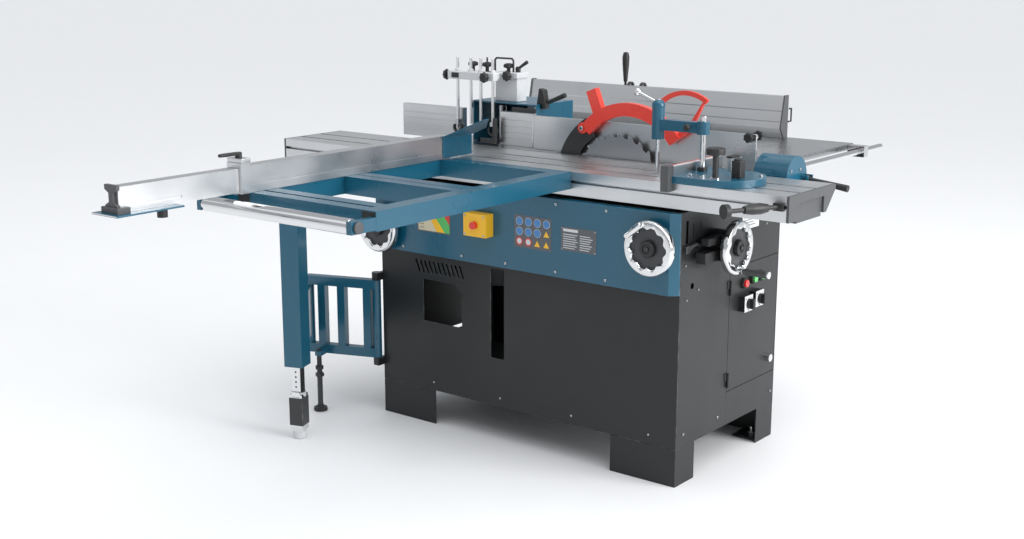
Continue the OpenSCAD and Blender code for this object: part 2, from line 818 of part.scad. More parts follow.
// Mitre gauge: base plate with its pin, clamping knob, pivot post and clamp column
module gauge_base() {
  z = [gauge_z, gauge_z + gauge_t];
  color(petrol) {
    span([gauge_x, gauge_x + 107], [gauge_mid - gauge_r, gauge_mid + gauge_r], z);
    intersection() {
      rod_z(gauge_r, gauge_x + 107, gauge_mid, z);
      span([gauge_x + 50, gauge_x + 300], [gauge_mid - 200, gauge_mid + 200],
        [z[0] - 1, z[1] + 1]);
    }
    rod_z(gauge_pin_r, gauge_pin[0], gauge_pin[1], [table_h - 11, z[1]]);
    rod_z(13, gauge_pin[0], gauge_pin[1], [z[1] - 1, z[1] + 46]);
    rod_z(8, 643, -262, [z[1] - 1, z[1] + 66]);
    rod_z(26, 643, -262, [z[1] + 65, z[1] + 80]);
    rod_z(column_r, column_at[0], column_at[1], [z[1] - 1, column_top]);
  }
}
module gauge_fence() {
  x = [gauge_x - gap - 20, gauge_x - gap];
  color(alu) {
    span(x, [-288, -20], [gauge_z, table_h + 45]);
    span([x[0] - 1, x[1]], [-310, slide_y[0] - gap], [table_h - 19, table_h + 46]);
  }
}
module clamp_arm() {
  y = column_at[1];
  color(petrol) difference() {
    union() {
      rod_z(18, column_at[0], y, arm_z);
      span([screw_x, column_at[0]], [y - 14, y + 14], [arm_z[0] + 3, arm_z[1] - 3]);
      rod_z(18, screw_x, y, [arm_z[0] - 24, arm_z[1] + 30]);
    }
    rod_z(column_r + fit, column_at[0], y, [arm_z[0] - 1, arm_z[1] + 1]);
    rod_z(screw_r + fit, screw_x, y, [arm_z[0] - 25, arm_z[1] + 31]);
  }
}
module clamp_screw() {
  y = column_at[1];
  top = arm_z[1] + 30 + gap;
  color(chrome) {
    rod_z(screw_r, screw_x, y, [table_h + 3, top + 10]);
    rod_z(14, screw_x, y, [table_h + 0.8, table_h + 6]);
    rod_z(14, screw_x, y, [top, top + 14]);
    translate([screw_x, y, top + 9]) rotate([0, -68, 0]) cylinder(r = 5, h = 82);
    translate([screw_x, y, top + 9]) rotate([0, -68, 0]) translate([0, 0, 76]) sphere(r = 11);
  }
}

// Casting that carries the arbor, slides on the two guide rods and holds the riving knife
module arbor_block() {
  color(iron) difference() {
    union() {
      span([blade_x - 65, blade_x + 65], block_y, block_z);
      span([blade_x - 24, blade_x + 24], block_y, [motor_z + motor_r - 12, block_z[0] + 1]);
      span([-85, blade_x - 45], [blade_y + 4, block_y[0] + 1], [arbor_z - 25, arbor_z]);
      span([-80, -20], [blade_y + knife_t / 2, blade_y + 5], [arbor_z - 25, arbor_z]);
    }
    rod_y(arbor_r + fit, blade_x, [block_y[0] - 1, block_y[1] + 1], arbor_z);
    for (s = [-1, 1])
      rod_z(guide_r + fit, blade_x + s * guide_dx, guide_y, [block_z[0] - 1, block_z[1] + 1]);
    rod_y(motor_r + 0.02, blade_x, [block_y[0] - 1, block_y[1] + 1], motor_z);
    rod_y(flange_r + 6, blade_x, [blade_y, block_y[0]], arbor_z);
  }
}
module saw_arbor() {
  color(chrome) {
    rod_y(arbor_r, blade_x, [blade_y - 14, pulley_y[1]], arbor_z);
    rod_y(flange_r, blade_x, [blade_y + blade_t / 2, block_y[0] - 3], arbor_z);
    rod_y(flange_r - 6, blade_x, [blade_y - 11, blade_y - blade_t / 2], arbor_z);
    rod_y(pulley_r, blade_x, pulley_y, arbor_z);
  }
}
// Saw blade with hooked teeth; each tooth is a tip, a gullet and a back
module saw_blade() {
  pitch = 360 / teeth;
  depth = 12;
  color(chrome) difference() {
    translate([blade_x, blade_y + blade_t / 2, arbor_z]) rotate([90, 0, 0])
      linear_extrude(blade_t) polygon([
        for (i = [0:teeth - 1], s = [[0, 0], [0.1, depth], [0.42, depth + 1], [0.78, 3]])
          (blade_r - s[1]) * [cos((i + s[0]) * pitch), sin((i + s[0]) * pitch)]
      ]);
    rod_y(arbor_r + 0.02, blade_x, [blade_y - blade_t, blade_y + blade_t], arbor_z);
  }
}
module riving_knife() {
  far = 320;
  color(black) {
    along_y([blade_y - knife_t / 2, blade_y + knife_t / 2]) intersection() {
      translate([blade_x, arbor_z]) difference() {
        circle(r = knife_r[1], $fn = 96);
        circle(r = knife_r[0], $fn = 96);
      }
      translate([blade_x, arbor_z]) polygon([
        [0, 0], far * [cos(121), sin(121)], far * [cos(150), sin(150)],
        [-far, 0], [-far, -22], [0, -22]
      ]);
    }
    rod_y(guard_pin_r, guard_pin[0], [blade_y - guard_w / 2 - 3, blade_y + guard_w / 2 + 3],
      guard_pin[1]);
  }
}
// Blade guard: an arched hood, its dust port and its lifting loop
module blade_guard() {
  y = [blade_y - guard_w / 2, blade_y + guard_w / 2];
  arc_c = [190, arbor_z + 30];
  arc_r = [182, 222];
  loop_c = [385, arbor_z + 170];
  loop_r = [116, 130];
  slit = knife_t / 2 + gap;
  color(red) difference() {
    union() {
      along_y(y) {
        translate(arc_c) intersection() {
          difference() {
            circle(r = arc_r[1], $fn = 96);
            circle(r = arc_r[0], $fn = 96);
          }
          polygon([[0, 0], 300 * [cos(140), sin(140)], [-260, 300], [300, 300],
            300 * [cos(36), sin(36)]]);
        }
        translate(guard_pin) circle(r = 17);
        translate([66, arbor_z + 206]) rotate(22) square([36, 76]);
      }
      along_y([blade_y - 5, blade_y + 5]) {
        translate(loop_c) intersection() {
          difference() {
            circle(r = loop_r[1], $fn = 96);
            circle(r = loop_r[0], $fn = 96);
          }
          polygon([[0, 0], 200 * [cos(146), sin(146)], [0, 300], 220 * [cos(55), sin(55)]]);
        }
        translate(loop_c) polygon([
          loop_r[1] * [cos(58), sin(58)], loop_r[0] * [cos(60), sin(60)],
          [8, 22], [-40, -6], [-18, -14], [24, 20]
        ]);
      }
    }
    rod_y(guard_pin_r + fit, guard_pin[0], [y[0] - 1, y[1] + 1], guard_pin[1]);
    along_y([blade_y - slit, blade_y + slit]) translate(guard_pin) circle(r = 62);
    along_y([y[0] + guard_wall, y[1] - guard_wall]) translate(arc_c) intersection() {
      circle(r = arc_r[1] - guard_wall, $fn = 96);
      polygon([[0, 0], 300 * [cos(126), sin(126)], [-160, 300], [160, 300],
        300 * [cos(60), sin(60)]]);
    }
  }
}

module saw_motor() {
  y = [-70, block_y[1]];
  color(iron) {
    rod_y(motor_r, blade_x, y, motor_z);
    rod_y(motor_r - 14, blade_x, [y[0] - 22, y[0] + 1], motor_z);
    span([blade_x + motor_r - 8, blade_x + motor_r + 38], [10, 110],
      [motor_z - 35, motor_z + 35]);
  }
}
module motor_pulley() {
  color(iron) {
    rod_y(motor_pulley_r, blade_x, pulley_y, motor_z);
    rod_y(motor_shaft_r, blade_x, [block_y[1] + gap, pulley_y[0] + 1], motor_z);
  }
}
module belt_outline(c) {
  hull() {
    translate([blade_x, arbor_z]) circle(r = pulley_r + c, $fn = 32);
    translate([blade_x, motor_z]) circle(r = motor_pulley_r + c, $fn = 32);
  }
}
module drive_belt() {
  color(black) along_y([pulley_y[0] + 3, pulley_y[1] - 3]) difference() {
    belt_outline(belt_gap + belt_t);
    belt_outline(belt_gap);
  }
}

// Spindle quill with its motor below
module spindle_quill() {
  x = spindle_at[0];
  y = spindle_at[1];
  color(iron) difference() {
    union() {
      rod_z(quill_r, x, y, quill_z);
      rod_z(spindle_motor_r, x, y, spindle_motor_z);
    }
    rod_z(quill_shaft_r + fit, x, y, [spindle_motor_z[0] + 40, quill_z[1] + 1]);
  }
}
module spindle_shaft() {
  x = spindle_at[0];
  y = spindle_at[1];
  color(chrome) {
    rod_z(quill_shaft_r, x, y, [spindle_motor_z[0] + 42, quill_z[1] + 12]);
    rod_z(spindle_d / 2, x, y, [quill_z[1], spindle_top]);
    rod_z(quill_r, x, y, [quill_z[1] + gap, quill_z[1] + 14]);
  }
}
// Housing behind the cutter, open to the front and below, with its dust spigot
module spindle_hood() {
  z = [table_h + gap, table_h + hood_h];
  t = hood_t;
  color(petrol) difference() {
    union() {
      difference() {
        span(hood_x, hood_y, z);
        span([hood_x[0] + t, hood_x[1] - t], [hood_y[0] - 1, hood_y[1] - t],
          [z[0] - 1, z[1] - t]);
      }
      rod_y(spigot_d / 2, spigot_x, [hood_y[1] - 1, hood_y[1] + spigot_l], spigot_z);
    }
    rod_y(spigot_d / 2 - 3, spigot_x, [hood_y[1] - t - 1, hood_y[1] + spigot_l + 1], spigot_z);
  }
}
// Hold-down stand on the hood: column, cross bar, rods, shoes and star knobs
module hood_column() {
  top = table_h + hood_h;
  bar_at = table_h + 217;
  rod_at = 28;
  rods = [-500, -444, -402, -352];
  color(alu) {
    span([-392, -300], [90, 140], [top, top + 124]);
    span([-535, -340], [rod_at - 12, rod_at + 12], [bar_at - 12, bar_at + 14]);
    span([-392, -352], [rod_at + 11, 91], [bar_at - 10, bar_at + 12]);
    span([-520, -391], [96, 120], [top + 104, top + 120]);
    for (x = rods) {
      rod_z(5, x, rod_at, [bar_at + 13, bar_at + 60]);
      rod_z(5, x, rod_at, [table_h + 60, bar_at - 11]);
    }
    for (x = [rods[0], rods[3]])
      rod_y(20, x, [rod_at - 12, rod_at + 8], table_h + 50);
    for (x = [-500, -440, -350])
      rod_z(17, x, 108, [top + 119, top + 136]);
    rod_y(17, -370, [rod_at - 28, rod_at - 11], bar_at);
    rod_x(17, [-555, -534], rod_at, bar_at);
  }
}
// Grooved fence plates of the spindle moulder
module hood_fences() {
  y = [40, hood_y[0] - gap];
  color(alu) for (x = [[-757, -490], [-330, -200]])
    difference() {
      span(x, y, [table_h + gap, table_h + 108]);
      for (z = [20:20:90])
        span([x[0] - 1, x[1] + 1], [y[0] - 1, y[0] + 1.5], [table_h + z, table_h + z + 3]);
    }
}

// Round guide bar of the rip fence in its two brackets
module fence_bar() {
  hold = 18;
  color(chrome) rod_y(bar_r, bar_x, bar_y, bar_z);
  color(petrol) for (y = [[-10, 8], [planer_y[0] + 440, planer_y[0] + 470]])
    difference() {
      span([x1 + gap, bar_x + hold], y, [bar_z - hold, bar_z + hold]);
      rod_y(bar_r + 0.3, bar_x, [y[0] - 1, y[1] + 1], bar_z);
    }
}
// Rip fence's plate with its foot rail and adjusting knob
module rip_fence() {
  z = table_h + gap;
  color(alu) {
    span(rip_x, [rip_y, rip_y + rip_t], [z, z + rip_h]);
    span(rip_x, [rip_y + rip_t - 1, rip_y + 32], [z, z + 8]);
    rod_y(8, rip_x[1] - 14, [rip_y + rip_t - 1, rip_y + 24], z + rip_h - 9);
  }
}
// Rip fence's head: bar sleeve below, round cover above, ears of the lever at its end
module rip_head() {
  mid = (head_y[0] + head_y[1]) / 2;
  r = (head_y[1] - head_y[0]) / 2;
  color(petrol) difference() {
    union() {
      span(head_x, head_y, [bar_z - 18, table_h - 2]);
      along_x([rip_x[1] + gap, head_x[1]]) intersection() {
        translate([mid, table_h - 12]) circle(r = r);
        translate([head_y[0], table_h - 12]) square([2 * r, r]);
      }
      for (y = [-ear_out, ear_out - ear_t])
        span([head_x[1] - 1, lever_at[0] + 11], [lever_at[1] + y, lever_at[1] + y + ear_t],
          [bar_z - 12, bar_z + 12]);
    }
    rod_y(bar_r + 0.3, bar_x, [head_y[0] - 1, head_y[1] + 1], bar_z);
    rod_y(lever_pin_r + fit, lever_at[0], [lever_at[1] - ear_out - 1, lever_at[1] + ear_out + 1], bar_z);
  }
}
module rip_lever() {
  hub = ear_out - ear_t - gap;
  color(black) {
    rod_y(lever_pin_r, lever_at[0], [lever_at[1] - ear_out, lever_at[1] + ear_out], bar_z);
    rod_y(10, lever_at[0], [lever_at[1] - hub, lever_at[1] + hub], bar_z);
    translate([lever_at[0], lever_at[1], bar_z]) rotate([0, 97, 0])
      cylinder(r1 = 7, r2 = 10, h = 128);
  }
}

// Planer fence: leaning profile, carrier bar and the ears of its lever
module tall_fence() {
  z = table_h + gap;
  top = z + tall_h;
  ear_x = tall_lever_at[0];
  color(alu) {
    along_x(tall_x) difference() {
      polygon([
        [tall_back, z], [tall_y + 25, z], [tall_y, z + 35], [tall_y + 23, top],
        [tall_back, top]
      ]);
      for (h = [55, 90])
        translate([tall_y + 23 * (h - 35) / (tall_h - 35) - 2, z + h]) square([4, 3]);
      translate([tall_y + 27, z + 30]) square([10, tall_h - 42]);
    }
    span([tall_bar_x[0] - 10, tall_bar_x[1] + 10], [tall_back - 1, tall_back + 12],
      [z, z + 50]);
    span(tall_bar_x, [tall_back, tall_back + tall_bar_l], tall_bar_z);
    for (s = [[-17, -7], [7, 17]])
      difference() {
        span([ear_x + s[0], ear_x + s[1]], [tall_back - 1, tall_back + 30],
          [tall_lever_at[2] - 26, tall_lever_at[2] + 10]);
        rod_x(tall_pin_r + fit, [ear_x + s[0] - 1, ear_x + s[1] + 1], tall_lever_at[1],
          tall_lever_at[2]);
      }
  }
}
module tall_lever() {
  x = tall_lever_at[0];
  y = tall_lever_at[1];
  z = tall_lever_at[2];
  color(black) {
    rod_x(tall_pin_r, [x - 17, x + 17], y, z);
    rod_x(9, [x - 6, x + 6], y, z);
    rod_z(4.5, x, y, [z, z + 34]);
    translate([x, y, z + 32]) rotate_extrude() polygon([
      [0, 0], [7, 0], [12, 60], [13, 88], [9, 105], [0, 107]
    ]);
  }
}

// Swing arm: an upright frame that turns on the cabinet's corner
module swing_arm() {
  w = arm_w / 2;
  color(petrol) translate([arm_pin[0], arm_pin[1], 0]) rotate([0, 0, arm_turn]) difference() {
    union() {
      for (z = [[arm_z0, arm_z0 + arm_bar], [arm_z1 - arm_bar, arm_z1]]) {
        span([0, arm_l], [-w, w], z);
        rod_z(w, arm_l, 0, z);
      }
      for (u = [18, 110, arm_l - 60])
        span([u, u + 26], [-w, w], [arm_z0 + 1, arm_z1 - 1]);
      rod_z(arm_barrel_r, 0, 0, [arm_z0, arm_z1]);
      rod_z(arm_pin_r, 0, 0, [arm_z0 - 25, arm_z1 + 25]);
      span([lug_at[0] - 14, lug_at[0] + 14], [0, lug_at[1]], lug_z);
      rod_z(14, lug_at[0], lug_at[1], lug_z);
    }
    rod_z(arm_pin_r + fit, arm_l, 0, [arm_z0 - 1, arm_z1 + 1]);
    rod_z(foot_rod_r + fit, lug_at[0], lug_at[1], [lug_z[0] - 1, lug_z[1] + 1]);
  }
}
module arm_foot() {
  color(black) translate([arm_pin[0], arm_pin[1], 0]) rotate([0, 0, arm_turn]) {
    rod_z(foot_rod_r, lug_at[0], lug_at[1], [floor_gap + 5, lug_z[1] + 5]);
    rod_z(foot_plate_r, lug_at[0], lug_at[1], [floor_gap, floor_gap + 12]);
    rod_z(13, lug_at[0], lug_at[1], [lug_z[0] - 48, lug_z[0] - 36]);
  }
}
// Link with the hollow column at its end
module column_place() {
  translate([arm_pin2[0], arm_pin2[1], 0]) rotate([0, 0, link_turn])
    translate([link_l, 0, 0]) rotate([0, 0, 20 - link_turn]) children();
}
module swing_link() {
  h = column_w / 2;
  hollow = h - column_wall;
  leg = leg_w / 2 + gap;
  color(petrol) difference() {
    union() {
      translate([arm_pin2[0], arm_pin2[1], 0]) rotate([0, 0, link_turn]) {
        rod_z(arm_barrel_r, 0, 0, [arm_z0 + arm_bar + gap, arm_z1 - arm_bar - gap]);
        rod_z(arm_pin_r, 0, 0, [arm_z0, arm_z1]);
        span([0, link_l - h + 4], [-link_t / 2, link_t / 2], [arm_z0 + 65, arm_z1 - 35]);
      }
      column_place() span([-h, h], [-h, h], column_z);
    }
    column_place() {
      span([-hollow, hollow], [-hollow, hollow], [column_z[0] + leg_bush, column_z[1] - 8]);
      span([-leg, leg], [-leg, leg], [column_z[0] - 1, column_z[0] + leg_bush + 1]);
    }
  }
}
module support_leg() {
  w = leg_w / 2;
  shoe = 21;
  color(chrome) column_place() {
    span([-w, w], [-w, w], [140, 520]);
    span([-shoe, shoe], [-shoe, shoe], [28, 144]);
    rod_z(20, 0, 0, [floor_gap, 30]);
  }
}

cabinet_front();
cabinet_shell();
cabinet_feet();
table_bearers();
front_panel();
estop_box();
guide_rail();
saw_table();
planer_tables();
planer_body();
rise_lock();
fence_bar();
spindle_hood();
hood_column();
hood_fences();
service_door();
stop_button();
start_button_saw();
start_button_spindle();
switch_saw();
switch_spindle();
door_latch();
estop_button();
carriage();
carriage_caps();
push_handle();
outrigger_sides();
outrigger_members();
roller();
crosscut_fence();
stop_lever();
fence_guard();
fence_extension();
gauge_base();
gauge_fence();
clamp_arm();
clamp_screw();
arbor_block();
saw_arbor();
saw_blade();
riving_knife();
blade_guard();
saw_motor();
motor_pulley();
drive_belt();
spindle_quill();
spindle_shaft();
planer_cutter();
wheel_saw();
wheel_spindle();
wheel_end();
rip_fence();
rip_head();
rip_lever();
tall_fence();
tall_lever();
swing_arm();
arm_foot();
swing_link();
support_leg();
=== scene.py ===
import json
import math

import bpy
from mathutils import Matrix, Vector

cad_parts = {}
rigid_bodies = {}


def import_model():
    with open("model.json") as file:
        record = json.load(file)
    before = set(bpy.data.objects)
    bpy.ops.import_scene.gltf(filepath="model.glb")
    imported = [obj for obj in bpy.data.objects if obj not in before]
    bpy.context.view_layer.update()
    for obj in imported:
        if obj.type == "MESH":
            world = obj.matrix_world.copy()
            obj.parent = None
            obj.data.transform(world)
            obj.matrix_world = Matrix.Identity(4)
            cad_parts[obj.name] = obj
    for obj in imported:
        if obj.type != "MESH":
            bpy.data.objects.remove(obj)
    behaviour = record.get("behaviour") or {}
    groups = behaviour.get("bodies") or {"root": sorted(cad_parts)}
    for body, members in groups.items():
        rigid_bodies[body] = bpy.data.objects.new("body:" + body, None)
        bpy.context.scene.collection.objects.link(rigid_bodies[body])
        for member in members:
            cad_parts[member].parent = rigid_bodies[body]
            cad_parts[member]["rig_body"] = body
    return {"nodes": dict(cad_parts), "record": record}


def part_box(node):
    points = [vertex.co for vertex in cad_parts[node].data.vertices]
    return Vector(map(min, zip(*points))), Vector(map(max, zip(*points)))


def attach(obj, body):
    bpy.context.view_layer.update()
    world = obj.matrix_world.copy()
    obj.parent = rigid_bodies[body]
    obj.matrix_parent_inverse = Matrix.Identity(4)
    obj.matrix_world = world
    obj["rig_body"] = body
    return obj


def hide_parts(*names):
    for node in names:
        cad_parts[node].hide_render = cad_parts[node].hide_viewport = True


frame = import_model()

bl_info = {
    "name": "Panel saw finish",
    "version": (1, 0, 0),
    "blender": (4, 5, 0),
    "location": "3D View > Sidebar > Panel saw",
    "description": "Adds surfaces and fittings to the packed panel saw",
    "category": "Object",
}

MM = 0.001
PANEL_FACE = -313.0     # front of the control panel, in mm
END_FACE = 559          # operator's end of the cabinet, in mm
BLACK, DARK, STEEL = "black plastic", "black steel and painted shade", "machined steel"
SHARP_EDGE = math.radians(32)
SMOOTH_BELOW = math.radians(38)
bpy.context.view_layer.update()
SLOT_OF = {s["node"]: s["material_slot"] for s in frame["record"]["subparts"]}


class SawColours(bpy.types.PropertyGroup):
    """Paint and plastic colours of the saw."""

    blue: bpy.props.FloatVectorProperty(
        name="Blue paint", description="Control panel, outrigger and arm",
        default=(0.006, 0.098, 0.165), subtype="COLOR", min=0, max=1)
    charcoal: bpy.props.FloatVectorProperty(
        name="Charcoal paint", description="Cabinet and door",
        default=(0.021, 0.0225, 0.0235), subtype="COLOR", min=0, max=1)
    guard: bpy.props.FloatVectorProperty(
        name="Guard plastic", description="Blade guard",
        default=(0.860, 0.060, 0.038), subtype="COLOR", min=0, max=1)
    aluminium: bpy.props.FloatVectorProperty(
        name="Aluminium", description="Carriage and fence profiles",
        default=(0.700, 0.708, 0.716), subtype="COLOR", min=0, max=1)
    iron: bpy.props.FloatVectorProperty(
        name="Ground cast iron", description="Saw and planer tables",
        default=(0.560, 0.567, 0.576), subtype="COLOR", min=0, max=1)


class SawSizes(bpy.types.PropertyGroup):
    """Sizes that a user would change."""

    edge: bpy.props.FloatProperty(
        name="Edge rounding", description="Multiplies the rounding of every edge",
        default=1.0, min=0.2, max=2.0)
    lobes: bpy.props.IntProperty(
        name="Handwheel lobes", description="Finger lobes round a handwheel's inner edge",
        default=10, min=6, max=14)
    knob: bpy.props.FloatProperty(
        name="Knob radius", description="Radius of the moulder's star knobs",
        default=0.017, min=0.012, max=0.020, unit="LENGTH")
    floor: bpy.props.FloatProperty(
        name="Floor size", description="Width of the studio floor",
        default=160.0, min=20.0, max=400.0, unit="LENGTH")


# ---------------------------------------------------------------- surfaces


def node_group(name, inputs, outputs):
    """A shader node group with named sockets, its input node and its output node."""
    tree = bpy.data.node_groups.new(name, "ShaderNodeTree")
    for label, kind, value in inputs:
        socket = tree.interface.new_socket(label, in_out="INPUT", socket_type=kind)
        socket.default_value = value
    for label, kind in outputs:
        tree.interface.new_socket(label, in_out="OUTPUT", socket_type=kind)
    return tree, tree.nodes.new("NodeGroupInput"), tree.nodes.new("NodeGroupOutput")


def edge_wear_group():
    """Bare metal or paler plastic that shows in patches along rounded edges."""
    tree, given, out = node_group(
        "Edge wear",
        [("Paint", "NodeSocketColor", (0.5, 0.5, 0.5, 1)),
         ("Bare", "NodeSocketColor", (0.8, 0.8, 0.8, 1)),
         ("Amount", "NodeSocketFloat", 0.3)],
        [("Colour", "NodeSocketColor"), ("Mask", "NodeSocketFloat")])
    n, link = tree.nodes, tree.links.new
    edge, place, noise = (n.new(k) for k in (
        "ShaderNodeAttribute", "ShaderNodeTexCoord", "ShaderNodeTexNoise"))
    patch, both, much, mix = (n.new(k) for k in (
        "ShaderNodeMapRange", "ShaderNodeMath", "ShaderNodeMath", "ShaderNodeMix"))
    edge.attribute_name = "edge_wear"
    noise.inputs["Scale"].default_value = 38
    noise.inputs["Detail"].default_value = 5
    patch.inputs["From Min"].default_value = 0.42
    patch.inputs["From Max"].default_value = 0.68
    both.operation = much.operation = "MULTIPLY"
    mix.data_type = "RGBA"
    link(place.outputs["Object"], noise.inputs["Vector"])
    link(noise.outputs["Fac"], patch.inputs["Value"])
    link(edge.outputs["Fac"], both.inputs[0])
    link(patch.outputs["Result"], both.inputs[1])
    link(both.outputs[0], much.inputs[0])
    link(given.outputs["Amount"], much.inputs[1])
    link(much.outputs[0], mix.inputs["Factor"])
    link(given.outputs["Paint"], mix.inputs[6])
    link(given.outputs["Bare"], mix.inputs[7])
    link(mix.outputs[2], out.inputs["Colour"])
    link(much.outputs[0], out.inputs["Mask"])
    return tree


def texture_group():
    """A noise that may be stretched into drawn or ground lines, with its bump."""
    tree, given, out = node_group(
        "Surface texture",
        [("Scale", "NodeSocketVector", (400, 400, 400)),
         ("Height", "NodeSocketFloat", 0.1)],
        [("Mask", "NodeSocketFloat"), ("Normal", "NodeSocketVector")])
    n, link = tree.nodes, tree.links.new
    place, mapped, noise, bump = (n.new(k) for k in (
        "ShaderNodeTexCoord", "ShaderNodeMapping", "ShaderNodeTexNoise", "ShaderNodeBump"))
    noise.inputs["Scale"].default_value = 1
    noise.inputs["Detail"].default_value = 3
    bump.inputs["Distance"].default_value = 0.0004
    link(place.outputs["Object"], mapped.inputs["Vector"])
    link(given.outputs["Scale"], mapped.inputs["Scale"])
    link(mapped.outputs["Vector"], noise.inputs["Vector"])
    link(noise.outputs["Fac"], bump.inputs["Height"])
    link(given.outputs["Height"], bump.inputs["Strength"])
    link(noise.outputs["Fac"], out.inputs["Mask"])
    link(bump.outputs["Normal"], out.inputs["Normal"])
    return tree


def marks_group():
    """Broad, faint handling marks for the gloss of a surface."""
    tree, given, out = node_group(
        "Handling marks",
        [("Smoothest", "NodeSocketFloat", 0.3), ("Roughest", "NodeSocketFloat", 0.5)],
        [("Roughness", "NodeSocketFloat")])
    n, link = tree.nodes, tree.links.new
    place, noise, spread = (n.new(k) for k in (
        "ShaderNodeTexCoord", "ShaderNodeTexNoise", "ShaderNodeMapRange"))
    noise.inputs["Scale"].default_value = 7
    noise.inputs["Detail"].default_value = 6
    spread.inputs["From Min"].default_value = 0.3
    spread.inputs["From Max"].default_value = 0.7
    link(place.outputs["Object"], noise.inputs["Vector"])
    link(noise.outputs["Fac"], spread.inputs["Value"])
    link(given.outputs["Smoothest"], spread.inputs["To Min"])
    link(given.outputs["Roughest"], spread.inputs["To Max"])
    link(spread.outputs["Result"], out.inputs["Roughness"])
    return tree


def surface(name, light, shade=0.86, rough=(0.35, 0.5), metal=0.0, scale=(700, 700, 700),
            height=0.12, coat=0.0, bare=None, wear=0.0, specular=0.5):
    """A finish made from the shared groups, each with its own values."""
    material = bpy.data.materials.new(name)
    material.use_nodes = True
    n, link = material.node_tree.nodes, material.node_tree.links.new
    shader = n["Principled BSDF"]
    shader.inputs["Metallic"].default_value = metal
    shader.inputs["Coat Weight"].default_value = coat
    shader.inputs["Coat Roughness"].default_value = 0.12
    shader.inputs["Specular IOR Level"].default_value = specular
    texture, worn, marks = (n.new("ShaderNodeGroup") for _ in range(3))
    texture.node_tree = bpy.data.node_groups["Surface texture"]
    worn.node_tree = bpy.data.node_groups["Edge wear"]
    marks.node_tree = bpy.data.node_groups["Handling marks"]
    mix = n.new("ShaderNodeMix")
    mix.data_type = "RGBA"
    mix.inputs[6].default_value = (*[c * shade for c in light], 1)
    mix.inputs[7].default_value = (*light, 1)
    texture.inputs["Scale"].default_value = scale
    texture.inputs["Height"].default_value = height
    worn.inputs["Bare"].default_value = (*(bare or [min(1, c * 1.5 + 0.03) for c in light]), 1)
    worn.inputs["Amount"].default_value = wear
    marks.inputs["Smoothest"].default_value, marks.inputs["Roughest"].default_value = rough
    link(texture.outputs["Mask"], mix.inputs["Factor"])
    link(mix.outputs[2], worn.inputs["Paint"])
    link(worn.outputs["Colour"], shader.inputs["Base Color"])
    link(marks.outputs["Roughness"], shader.inputs["Roughness"])
    link(texture.outputs["Normal"], shader.inputs["Normal"])
    return material


def make_surfaces():
    """Every finish of the saw."""
    colours = bpy.context.scene.saw_colours
    edge_wear_group()
    texture_group()
    marks_group()
    bare_steel = (0.42, 0.43, 0.44)
    alu, iron = tuple(colours.aluminium), tuple(colours.iron)
    surface("charcoal paint", tuple(colours.charcoal), 0.80, (0.30, 0.40), height=0.12,
            specular=0.35, bare=(0.22, 0.225, 0.23), wear=0.5)
    surface("blue paint", tuple(colours.blue), 0.82, (0.24, 0.36), height=0.16, coat=0.25,
            bare=(0.10, 0.24, 0.34), wear=0.55)
    surface("aluminium along", alu, 0.90, (0.26, 0.38), 1, (3, 900, 900), 0.10)
    surface("aluminium across", alu, 0.90, (0.26, 0.38), 1, (900, 3, 900), 0.10)
    surface("ground iron", iron, 0.82, (0.20, 0.34), 1, (6, 1100, 60), 0.10)
    surface("cast iron paint", (0.30, 0.31, 0.32), 0.8, (0.5, 0.65), 0.3, height=0.5)
    surface("machined steel", (0.62, 0.63, 0.65), 0.80, (0.22, 0.34), 1, (40, 900, 40), 0.08)
    surface("blade steel", (0.50, 0.505, 0.52), 0.78, (0.24, 0.36), 1, (500, 30, 500), 0.10)
    surface("chrome", (0.74, 0.745, 0.75), 0.96, (0.06, 0.13), 1, (300, 300, 300), 0.01)
    surface("black plastic", (0.020, 0.020, 0.021), 0.6, (0.40, 0.55), height=0.35,
            bare=(0.08, 0.08, 0.08), wear=0.5)
    surface("dark disc", (0.055, 0.058, 0.062), 0.7, (0.38, 0.5), height=0.3)
    surface("grey plastic", (0.085, 0.088, 0.091), 0.85, (0.42, 0.55), height=0.3, wear=0.4)
    surface("black steel and painted shade", (0.035, 0.036, 0.038), 0.8, (0.36, 0.48), height=0.2,
            bare=bare_steel, wear=0.35)
    surface("light enamel", (0.66, 0.67, 0.68), 0.94, (0.28, 0.4), height=0.15, wear=0.2)
    surface("guard plastic", tuple(colours.guard), 0.92, (0.26, 0.36), height=0.06, coat=0.2,
            wear=0.25)
    surface("signal red", (0.72, 0.030, 0.025), 0.9, (0.2, 0.3), height=0.05, coat=0.3)
    surface("signal green", (0.10, 0.50, 0.13), 0.9, (0.2, 0.3), height=0.05, coat=0.3)
    surface("signal yellow", (0.90, 0.50, 0.020), 0.93, (0.26, 0.38), height=0.1, wear=0.3)
    surface("label white", (0.64, 0.65, 0.66), 0.96, (0.35, 0.45), height=0.04)
    surface("label blue", (0.06, 0.22, 0.50), 0.93, (0.35, 0.45), height=0.04)
    surface("label grey", (0.10, 0.11, 0.12), 0.9, (0.3, 0.42), height=0.06)
    surface("label beige", (0.62, 0.56, 0.40), 0.95, (0.35, 0.45), height=0.04)
    surface("red ink", (0.62, 0.05, 0.04), 0.92, (0.35, 0.45), height=0.04)
    surface("belt rubber", (0.016, 0.016, 0.017), 0.8, (0.6, 0.75), height=0.5)
    surface("studio floor", (0.86, 0.865, 0.875), 0.985, (0.45, 0.55), scale=(2, 2, 2),
            height=0.0, specular=0.25)


# ---------------------------------------------------------------- modelling


def new_object(name, data):
    """An object for this data, linked to the scene."""
    made = bpy.data.objects.new(name, data)
    bpy.context.scene.collection.objects.link(made)
    return made


def shift(piece, step):
    """Moves a piece's mesh by a step in mm."""
    piece.data.transform(Matrix.Translation(Vector(step) * MM))


